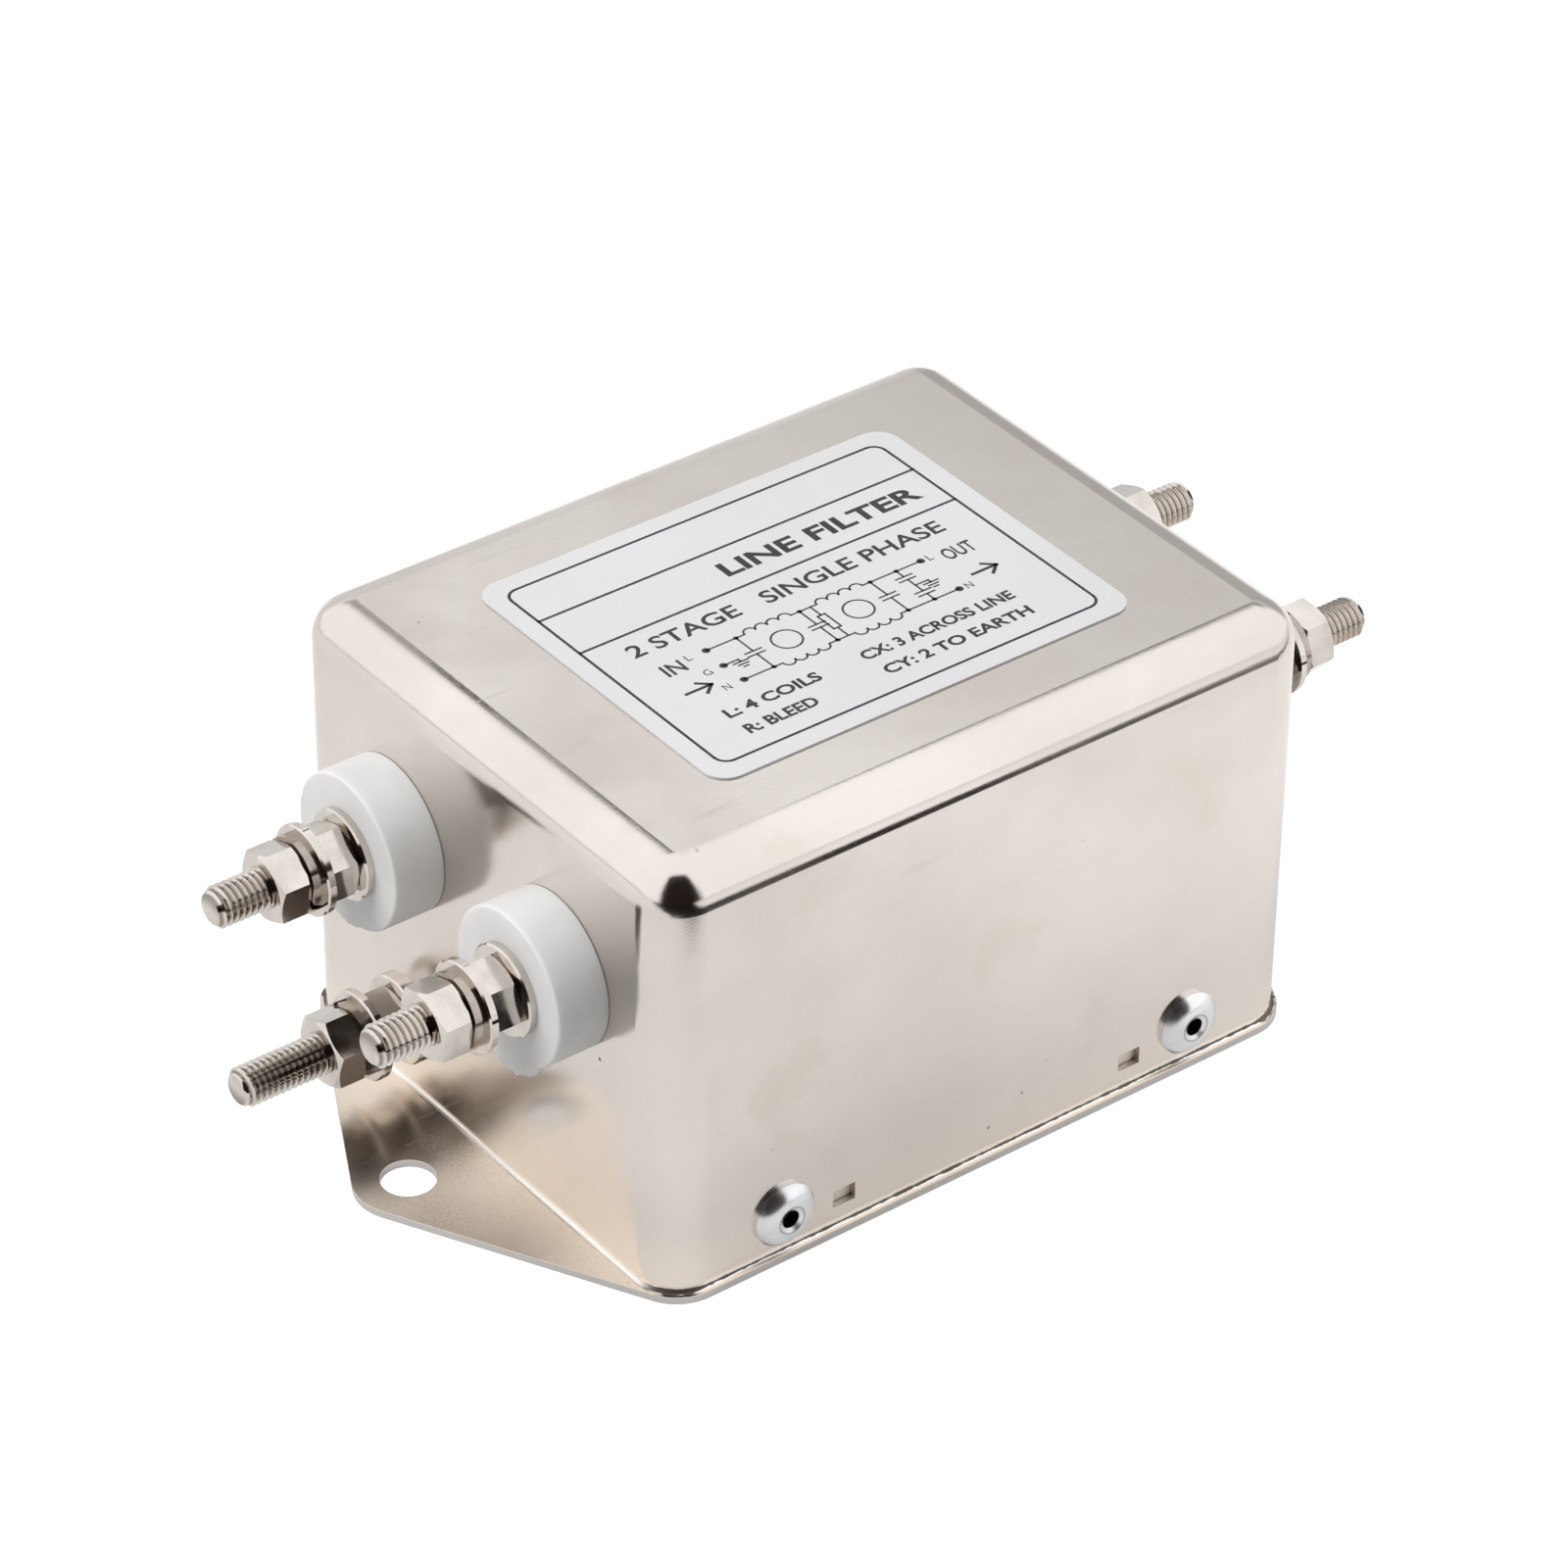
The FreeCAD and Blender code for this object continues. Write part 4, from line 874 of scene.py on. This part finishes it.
@dataclass
class Bushing(WallPart):
    """White bushing of a power stud, with a crisp edge and its moulding flash."""

    ending: ClassVar[str] = "_moulding"
    slot: ClassVar[str] = "bushing"
    flash_hang: float = 0.0
    flash_turn: float = 0.0
    flash_reach: float = 0.7
    flash_depth: float = 1.0 * MM
    bore: float = 2.65 * MM
    radius: float = 9.5 * MM
    thickness: float = 6.6 * MM
    spigot_radius: float = 4.8 * MM
    spigot_length: float = 1.8 * MM
    front_edge: float = 0.35 * MM
    seat_edge: float = 0.18 * MM
    steps: int = 200

    def model(self, shape: Shape, inner: float, outer: float) -> None:
        """Turn the bushing and round its front and seat edges.

        Args:
            shape: Mesh to add to.
            inner: Not used; the spigot's own length sets where it ends.
            outer: Where its front lies along X.
        """
        wall = outer - self.thickness
        self.turn_ring(shape, wall)
        self.round_edge(shape, outer, self.front_edge)
        self.round_edge(shape, wall, self.seat_edge)

    def turn_ring(self, shape: Shape, wall: float) -> None:
        """Spin the bushing's outline about the stud's axis.

        Args:
            shape: Mesh to add to.
            wall: Distance of the wall from the middle of the filter.
        """
        front, flash = self.thickness, self.thickness - self.flash_depth
        outline = ((-self.spigot_length, self.bore), (front, self.bore),
                   (front, self.radius), (flash, self.radius), (flash - 0.2 * MM, self.radius),
                   (0.0, self.radius), (0.0, self.spigot_radius),
                   (-self.spigot_length, self.spigot_radius))
        points = [shape.verts.new((wall + along, out, 0.0)) for along, out in outline]
        ring = [shape.edges.new(pair) for pair in zip(points, points[1:] + points[:1])]
        bmesh.ops.spin(shape, geom=points + ring, cent=(0, 0, 0), axis=(1, 0, 0),
                       angle=2 * math.pi, steps=self.steps, use_merge=True)
        bmesh.ops.remove_doubles(shape, verts=shape.verts, dist=MERGE_BELOW)
        bmesh.ops.recalc_face_normals(shape, faces=shape.faces)

    def round_edge(self, shape: Shape, spot: float, width: float) -> None:
        """Round the outer edge at one end.

        Args:
            shape: The bushing's mesh.
            spot: Where the edge lies along the axis.
            width: Width of the rounding.
        """
        rim = [edge for edge in shape.edges
               if all(abs(vert.co.x - spot) < SAME_SPOT
                      and abs(math.hypot(vert.co.y, vert.co.z) - self.radius) < SAME_SPOT
                      for vert in edge.verts)]
        bmesh.ops.bevel(shape, geom=rim, offset=width, offset_type="OFFSET", segments=3,
                        profile=0.5, affect="EDGES", material=-1)

    def wear(self, shape: Shape, middle: Vector, outer: float) -> None:
        """Pull the front rim down into a ragged tongue of flash.

        Args:
            shape: The bushing's mesh, in place.
            middle: Middle of the bushing.
            outer: Where its front lies along X.
        """
        start = outer - self.flash_depth - SAME_SPOT
        for vert in shape.verts:
            side, down = vert.co.y - middle.y, middle.z - vert.co.z
            if abs(vert.co.x) < start or math.hypot(side, down) < 0.9 * self.radius:
                continue
            angle = math.atan2(side, down) - self.flash_turn
            share = max(0.0, 1.0 - (angle / self.flash_reach) ** 2) ** 0.6
            ragged = 0.82 + 0.09 * math.sin(19.0 * angle) + 0.09 * math.sin(47.0 * angle + 1.3)
            vert.co.z -= self.flash_hang * share * ragged


@dataclass
class Terminals(DressedNodes):
    """Studs, nuts, washers and bushings at both ends."""

    finishes: FinishTable = (
        (BrightMetal("hardware_nickel"), ("fixing", "terminal")),
        (BrightMetal("lock_steel", (0.50, 0.445, 0.395), (0.36, 0.315, 0.275),
                     (0.14, 0.24)), ("lock_washers",)))
    thread: Finish = ThreadMetal("stud_nickel")
    studs: tuple[str, ...] = ("stud_input_near", "stud_input_far", "stud_output_near",
                              "stud_output_far", "earth_stud")
    white: Finish = Moulding("bushing_white", (0.835, 0.835, 0.828), (0.765, 0.762, 0.752),
                             glow=0.25)
    bushings: tuple[tuple[str, float, float, float], ...] = (
        ("bushing_input_near", 2.1 * MM, 0.14, 0.72),
        ("bushing_input_far", 0.9 * MM, 0.30, 0.5),
        ("bushing_output_near", 0.0, 0.0, 0.7), ("bushing_output_far", 0.0, 0.0, 0.7))

    def build(self) -> None:
        """Make the threads and bushings, and dress the rest."""
        thread, white = self.thread.build(), self.white.build()
        for node in self.studs:
            ThreadedStud(node).build(thread)
        for sizes in self.bushings:
            Bushing(*sizes).build(white)
        self.dress()


@dataclass
class RatingPrint:
    """Generic print on the label: a frame, plain words and the filter's circuit.

    Places and lengths on the label are in millimetres, but for lift.
    """

    shape: Shape = field(default_factory=bmesh.new)
    left: float = -26.5
    right: float = 26.1
    near: float = -20.3
    far: float = 20.4
    corner: float = 1.6
    dividers: Pair = (13.65, 5.9)
    line: float = 0.36
    thin: float = 0.24
    arrow_line: float = 0.42
    arrow_level: float = -7.4
    arrow_tips: Pair = (-18.4, 21.4)
    rails: Pair = (-1.85, -8.8)
    rail_end: float = 15.0
    rail_stops: tuple[float, ...] = (-9.7, -3.3, 0.3, 6.7)
    chokes: Pair = (-6.5, 3.5)
    coil_steps: tuple[float, ...] = (-2.4, -0.8, 0.8, 2.4)
    cross_leads: tuple[float, ...] = (-10.9, -2.1, 7.8)
    earth_pair: float = 11.5
    bleeder: float = -0.6
    lift: float = 0.012 * MM

    def build(self) -> Object:
        """Draw all the print as one flat piece on the label.

        Returns:
            The print in place.
        """
        self.draw_frame()
        self.draw_words()
        self.draw_circuit()
        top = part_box("rating_label")[1].z + self.lift
        bmesh.ops.transform(self.shape, matrix=Matrix.Translation((0, 0, top)),
                            verts=self.shape.verts)
        return finish_piece("label_print", self.shape, PrintInk().build())

    def path(self, width: float, *points: Pair) -> None:
        """Draw straight strokes through a row of points.

        Args:
            width: Line width.
            points: The points in order.
        """
        for start, stop in zip(points, points[1:]):
            first, last = Vector((*start, 0.0)), Vector((*stop, 0.0))
            run = last - first
            place = (Matrix.Translation((first + last) / 2 * MM)
                     @ Matrix.Rotation(math.atan2(run.y, run.x), 4, "Z")
                     @ Matrix.Diagonal(((run.length + width) * MM, width * MM, 1.0, 1.0)))
            bmesh.ops.create_grid(self.shape, x_segments=1, y_segments=1, size=0.5, matrix=place)

    def arc(self, middle: Pair, radius: float, start: float, sweep: float, width: float) -> None:
        """Draw an arc by spinning a short cross stroke about its middle.

        Args:
            middle: Middle of the arc.
            radius: Its radius.
            start: Angle where it starts.
            sweep: Angle that it covers.
            width: Line width.
        """
        centre = Vector((*middle, 0.0)) * MM
        out = Vector((math.cos(start), math.sin(start), 0.0))
        ends = [self.shape.verts.new(centre + out * (radius + side * width / 2) * MM)
                for side in (1, -1)]
        edge = self.shape.edges.new(ends)
        bmesh.ops.spin(self.shape, geom=ends + [edge], cent=centre, axis=(0, 0, 1),
                       angle=sweep, steps=max(6, int(abs(sweep) / 0.3)),
                       use_merge=abs(sweep) > 2 * math.pi - 0.01)

    def dot(self, middle: Pair, radius: float) -> None:
        """Draw a filled dot."""
        bmesh.ops.create_circle(self.shape, cap_ends=True, segments=14, radius=radius * MM,
                                matrix=Matrix.Translation((middle[0] * MM, middle[1] * MM, 0)))

    def word(self, text: str, low: Pair, high: Pair, bold: float) -> None:
        """Set one word or row so that it fills a box.

        Args:
            text: The letters.
            low: Lower left corner of the box.
            high: Upper right corner of the box.
            bold: How far the strokes are thickened, in shares of the letter size.
        """
        curve = bpy.data.curves.new("row", "FONT")
        curve.body = text
        curve.size = 1.0
        curve.offset = bold
        curve.resolution_u = 4
        row = show("row", curve)
        bpy.context.view_layer.update()
        flat = bpy.data.meshes.new_from_object(row)
        xs = [vert.co.x for vert in flat.vertices]
        ys = [vert.co.y for vert in flat.vertices]
        wide = (high[0] - low[0]) / (max(xs) - min(xs))
        tall = (high[1] - low[1]) / (max(ys) - min(ys))
        flat.transform(Matrix.Translation((low[0] * MM, low[1] * MM, 0))
                       @ Matrix.Diagonal((wide * MM, tall * MM, 1, 1))
                       @ Matrix.Translation((-min(xs), -min(ys), 0)))
        self.shape.from_mesh(flat)
        bpy.data.objects.remove(row)
        bpy.data.curves.remove(curve)
        bpy.data.meshes.remove(flat)

    def draw_frame(self) -> None:
        """Draw the border with rounded corners and the two dividing lines."""
        for x, y, start in ((self.right, self.far, 0.0), (self.left, self.far, math.pi / 2),
                            (self.left, self.near, math.pi),
                            (self.right, self.near, -math.pi / 2)):
            middle = (x - math.copysign(self.corner, x), y - math.copysign(self.corner, y))
            self.arc(middle, self.corner, start, math.pi / 2, self.line)
        for y in (self.near, self.far):
            self.path(self.line, (self.left + self.corner, y), (self.right - self.corner, y))
        for x in (self.left, self.right):
            self.path(self.line, (x, self.near + self.corner), (x, self.far - self.corner))
        for y in self.dividers:
            self.path(self.line, (self.left, y), (self.right, y))

    def draw_words(self) -> None:
        """Set plain words that any such filter could carry, and two arrows."""
        for row in (("LINE FILTER", (-4.2, 8.35), (23.6, 11.15), 0.030),
                    ("2 STAGE   SINGLE PHASE", (-22.2, 1.4), (21.4, 3.85), 0.016),
                    ("L: 4 COILS", (-20.7, -13.9), (-7.9, -12.1), 0.030),
                    ("R: BLEED", (-20.6, -17.5), (-11.0, -15.7), 0.030),
                    ("CX: 3 ACROSS LINE", (-2.0, -13.9), (19.1, -12.1), 0.030),
                    ("CY: 2 TO EARTH", (-1.6, -17.5), (18.9, -15.7), 0.030),
                    ("IN", (-21.3, -3.7), (-18.6, -1.4), 0.016),
                    ("OUT", (17.7, -3.7), (21.9, -1.4), 0.016),
                    ("L", (-17.8, -2.4), (-17.1, -1.3), 0.0),
                    ("G", (-17.9, -5.9), (-16.9, -4.8), 0.0),
                    ("N", (-17.8, -9.4), (-16.9, -8.3), 0.0),
                    ("L", (15.9, -2.4), (16.6, -1.3), 0.0),
                    ("N", (15.9, -9.4), (16.8, -8.3), 0.0)):
            self.word(*row)
        y = self.arrow_level
        for tip in self.arrow_tips:
            self.path(self.arrow_line, (tip - 3.4, y), (tip, y))
            self.path(self.arrow_line, (tip - 1.3, y + 1.1), (tip, y), (tip - 1.3, y - 1.1))

    def draw_circuit(self) -> None:
        """Draw two chokes in a row between capacitors, a resistor and the earth lead."""
        high, low = self.rails
        middle = (high + low) / 2
        stops = (-self.rail_end, *self.rail_stops, self.rail_end)
        for y, sweep in ((high, math.pi), (low, -math.pi)):
            for end in (-self.rail_end, self.rail_end):
                self.dot((end, y), 0.5)
            for start, stop in zip(stops[::2], stops[1::2]):
                self.path(self.thin, (start, y), (stop, y))
            for choke in self.chokes:
                for step in self.coil_steps:
                    self.arc((choke + step, y), 0.8, 0.0, sweep, self.thin)
            for lead in (*self.cross_leads, self.earth_pair):
                self.dot((lead, y), 0.32)
        for choke in self.chokes:
            self.arc((choke, middle), 1.8, 0.0, 2 * math.pi, self.thin)
        for lead in self.cross_leads:
            self.capacitor(lead, high, low)
        self.capacitor(self.earth_pair, high, middle)
        self.capacitor(self.earth_pair, middle, low)
        x, top, foot = self.bleeder, middle + 1.5, middle - 1.5
        self.path(self.thin, (x, high), (x, top))
        self.path(self.thin, (x, low), (x, foot))
        self.path(self.thin, (x - 0.5, foot), (x + 0.5, foot), (x + 0.5, top), (x - 0.5, top),
                  (x - 0.5, foot))
        self.dot((-15.2, middle), 0.5)
        for start, stop in ((self.earth_pair, 13.3), (-15.2, -13.2)):
            self.path(self.thin, (start, middle), (stop, middle), (stop, middle - 0.5))
            self.earth_sign(stop, middle - 0.5)

    def earth_sign(self, x: float, y: float) -> None:
        """Draw the earth sign: three shrinking strokes below a lead.

        Args:
            x: Where the lead ends on the label.
            y: Its lowest level.
        """
        for rank, reach in enumerate((1.0, 0.65, 0.3)):
            level = y - rank * 0.5
            self.path(self.thin, (x - reach, level), (x + reach, level))

    def capacitor(self, x: float, high: float, low: float) -> None:
        """Draw a capacitor between two levels.

        Args:
            x: Where its leads run.
            high: Upper level.
            low: Lower level.
        """
        middle = (high + low) / 2
        for level, side in ((high, 0.35), (low, -0.35)):
            self.path(self.thin, (x, level), (x, middle + side))
            self.path(self.thin, (x - 1.1, middle + side), (x + 1.1, middle + side))


@dataclass
class InnerParts(DressedNodes):
    """The parts inside the closed case, each in its own finish."""

    finishes: FinishTable = (
        (BrightMetal("strap_copper", (0.86, 0.52, 0.34), (0.60, 0.33, 0.20), (0.2, 0.38)),
         ("strap", "earth_strap")),
        (BrightMetal("wire_enamel", (0.62, 0.27, 0.10), (0.42, 0.16, 0.06), (0.18, 0.3)),
         ("winding",)),
        (Moulding("insulator_cream", (0.85, 0.84, 0.80), (0.78, 0.77, 0.72)),
         ("insulator", "choke_seat")),
        (Moulding("spacer_nylon", (0.88, 0.87, 0.82), (0.81, 0.80, 0.74)), ("spacer",)),
        (Moulding("core_coating", (0.07, 0.17, 0.11), (0.045, 0.12, 0.075), (0.25, 0.4)),
         ("choke_core",)),
        (Moulding("board_laminate", (0.05, 0.19, 0.09), (0.03, 0.13, 0.06), (0.3, 0.45),
                  300.0), ("circuit_board",)),
        (Moulding("film_box", (0.72, 0.66, 0.44), (0.64, 0.58, 0.37), (0.3, 0.4)),
         ("film_capacitor",)),
        (Moulding("shunt_box", (0.04, 0.12, 0.42), (0.03, 0.09, 0.33), (0.3, 0.4)),
         ("earth_capacitor",)),
        (Moulding("resistor_lacquer", (0.45, 0.54, 0.62), (0.36, 0.45, 0.53), (0.25, 0.35)),
         ("bleeder_resistor",)))


# Surroundings


@dataclass
class Studio:
    """Floor, background, lamps and camera. Lengths are in metres."""

    camera_place: Direction = (-0.3602, -0.4631, 0.4491)
    right: Direction = (0.79559373, -0.60575342, 0.00966435)
    down: Direction = (-0.34487044, -0.46595130, -0.81483358)
    ahead: Direction = (0.49809135, 0.64494354, -0.57961439)
    focal_length: float = 145.772
    key_place: Direction = (-0.56, 0.22, 0.88)
    fill_place: Direction = (0.75, -0.10, 0.55)
    lamp_size: float = 0.8
    key_power: float = 9.7
    fill_power: float = 1.5
    ambient: float = 0.34
    floor_size: float = 3.0
    floor_gap: float = 0.02 * MM
    floor_tone: float = 0.55
    shown_glow: float = 0.80
    mirrored_ramp: Ramp = (-0.05, 0.10, 0.315, 0.555)
    floor_dark: Colour = (0.012, 0.009, 0.008)
    sheet_edge: float = -0.104
    slot_ramp: Ramp = (0.0, 0.10, -0.168, -0.142)
    table_corner: float = 0.015
    opening_aim: Direction = (-0.454, -0.891, 0.0)
    opening_side: Direction = (-0.891, 0.454, 0.0)
    opening_width: Pair = (1.08, 0.98)
    opening_height: Pair = (3.6, 3.2)
    back_aim: Direction = (0.629, 0.777, 0.0)
    back_side: Direction = (-0.777, 0.629, 0.0)
    wall_ramp: Ramp = (0.50, 0.60, 0.61, 1.04)
    strip_ramp: Ramp = (0.602, 0.618, 0.0, 0.22)
    tilt_ramp: Ramp = (-0.12, 0.12, -0.10, 0.10)
    lift_ramp: Ramp = (0.045, 0.095, 0.0, 0.11)
    side_glow: float = 1.18
    side_ramp: Pair = (0.64, 0.74)
    top_glow: float = 1.20
    top_ramp: Pair = (0.62, 0.66)
    gap_bottom: Pair = (0.608, 0.616)
    gap_top: Pair = (0.690, 0.680)
    gap_back: Pair = (0.60, 0.70)
    gap_aside: Pair = (0.03, 0.06)
    room_dark: Colour = (0.016, 0.011, 0.009)
    room_light: Colour = (0.985, 0.99, 1.0)

    def build(self) -> None:
        """Set up the whole studio."""
        self.add_camera()
        self.add_floor()
        self.add_world()
        self.add_lamp("key", self.key_place, self.key_power)
        self.add_lamp("fill", self.fill_place, self.fill_power)
        bpy.context.scene.view_settings.view_transform = "Standard"

    def add_camera(self) -> None:
        """Stand the camera where the photograph was taken from."""
        data = bpy.data.cameras.new("camera")
        data.sensor_width = 36.0
        data.lens = self.focal_length
        data.clip_start = 0.01
        camera = show("camera", data)
        axes = Matrix((self.right, [-part for part in self.down],
                       [-part for part in self.ahead])).transposed().to_4x4()
        camera.matrix_world = Matrix.Translation(self.camera_place) @ axes
        bpy.context.scene.camera = camera

    def add_floor(self) -> None:
        """Lay a plain white floor that keeps the filter's shadow."""
        shape = bmesh.new()
        bmesh.ops.create_circle(shape, cap_ends=True, segments=64, radius=self.floor_size)
        mesh = bpy.data.meshes.new("floor")
        shape.to_mesh(mesh)
        shape.free()
        mesh.materials.append(self.floor_material())
        floor = show("floor", mesh)
        floor.location.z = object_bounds()[0].z - self.floor_gap
        floor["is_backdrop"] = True

    def floor_material(self) -> Material:
        """Make the floor: white to the camera, and a lit sheet to the metal.

        Returns:
            The material.
        """
        material = bpy.data.materials.new("floor_white")
        material.use_nodes = True
        graph = Graph(material.node_tree)
        x, y, _ = graph.split(graph.add("TexCoord").outputs["Object"])
        rays = graph.add("LightPath").outputs
        seen = graph.most(rays["Is Camera Ray"], rays["Is Transmission Ray"])
        glossy = rays["Is Glossy Ray"]
        glow = graph.plus(graph.times(seen, self.shown_glow),
                          graph.times(glossy, graph.spread(x, *self.mirrored_ramp)))
        dark = graph.times(glossy, self.dark_slot(graph, x, y))
        paint = graph.add("BsdfDiffuse", {"Color": (self.floor_tone,) * 3})
        light = graph.add("Emission", {"Color": (1.0, 1.0, 1.0), "Strength": glow})
        white = graph.add("AddShader", {0: paint.outputs[0], 1: light.outputs[0]})
        black = graph.add("BsdfDiffuse", {"Color": self.floor_dark})
        both = graph.add("MixShader", {0: dark, 1: white.outputs[0], 2: black.outputs[0]})
        graph.add("OutputMaterial", {"Surface": both.outputs[0]})
        return material

    def dark_slot(self, graph: Graph, x: Socket, y: Socket) -> Socket:
        """Find where the white sheet ends in front of the filter.

        Args:
            graph: The floor's tree.
            x: The spot's X.
            y: The spot's Y.

        Returns:
            A mask that is 1 on the dark slot and on the open side by the camera.
        """
        beyond = graph.spread(y, self.sheet_edge + 0.003, self.sheet_edge - 0.006)
        edge = graph.spread(x, *self.slot_ramp)
        before = graph.spread(graph.minus(y, edge), -0.006, 0.004)
        open_side = graph.spread(x, self.table_corner + 0.01, self.table_corner - 0.01)
        return graph.times(beyond, graph.most(before, open_side))

    def add_world(self) -> None:
        """Set a white background, soft light, and the room that the metal mirrors."""
        world = bpy.data.worlds.new("studio")
        world.use_nodes = True
        bpy.context.scene.world = world
        graph = Graph(world.node_tree)
        direction = graph.add("TexCoord").outputs["Generated"]
        rays = graph.add("LightPath").outputs
        seen = graph.most(rays["Is Camera Ray"], rays["Is Transmission Ray"])
        ambient = graph.add("Background", {"Color": (1.0, 0.99, 0.98), "Strength": self.ambient})
        room = graph.add("Background", {"Color": self.mirrored_room(graph, direction),
                                        "Strength": 1.0})
        white = graph.add("Background", {"Color": (1.0, 1.0, 1.0), "Strength": 1.0})
        unseen = graph.add("MixShader", {0: rays["Is Glossy Ray"], 1: ambient.outputs[0],
                                         2: room.outputs[0]})
        both = graph.add("MixShader", {0: seen, 1: unseen.outputs[0], 2: white.outputs[0]})
        graph.add("OutputWorld", {"Surface": both.outputs[0]})

    def mirrored_room(self, graph: Graph, direction: Socket) -> Socket:
        """Paint the light tent that the metal mirrors, by direction.

        Args:
            graph: The world's tree.
            direction: Direction of the ray.

        Returns:
            The colour seen there: soft white panels, a thin gap between the back wall and
            the top, and the dark opening that the camera looks through.
        """
        def along(axis: Direction) -> Socket:
            """Measure the direction along an axis."""
            return graph.add("VectorMath", {0: direction, 1: axis},
                             operation="DOT_PRODUCT").outputs["Value"]

        height = graph.split(direction)[2]
        back, across = along(self.back_aim), along(self.back_side)
        wall = graph.plus(graph.spread(height, *self.wall_ramp),
                          graph.spread(height, *self.strip_ramp),
                          graph.spread(across, *self.tilt_ramp),
                          graph.spread(across, *self.lift_ramp))
        sky = graph.mix(graph.spread(back, *self.side_ramp), self.side_glow, wall)
        sky = graph.mix(graph.spread(height, *self.top_ramp), sky, self.top_glow)
        gap = graph.times(graph.spread(height, *self.gap_bottom),
                          graph.spread(height, *self.gap_top),
                          graph.spread(back, *self.gap_back),
                          graph.spread(graph.size(across), *self.gap_aside))
        reach = graph.most(along(self.opening_aim), 0.01)
        side = graph.math("DIVIDE", graph.size(along(self.opening_side)), reach)
        rise = graph.math("DIVIDE", height, reach)
        opening = graph.times(graph.spread(side, *self.opening_width),
                              graph.spread(rise, *self.opening_height))
        light = graph.times(sky, graph.minus(1.0, graph.most(gap, opening)))
        return graph.blend(light, self.room_dark, self.room_light, clamp=False)

    def add_lamp(self, name: str, place: Direction, power: float) -> None:
        """Hang a soft square lamp that looks at the filter.

        Args:
            name: Name of the lamp.
            place: Where it hangs.
            power: Its power in watts.
        """
        data = bpy.data.lights.new(name, "AREA")
        data.size = self.lamp_size
        data.energy = power
        lamp = show(name, data)
        spot = Vector(place)
        aim = (Vector((0.0, 0.0, 0.03)) - spot).to_track_quat("-Z", "Y")
        lamp.matrix_world = Matrix.Translation(spot) @ aim.to_matrix().to_4x4()
        lamp.visible_glossy = False


def main() -> None:
    """Build the studio, then every sub-assembly of the filter in order."""
    logging.basicConfig(level=logging.INFO, format="%(message)s")
    Studio().build()
    Casing().dress()
    Terminals().build()
    RatingPrint().build()
    InnerParts().dress()


if __name__ == "__main__":
    main()
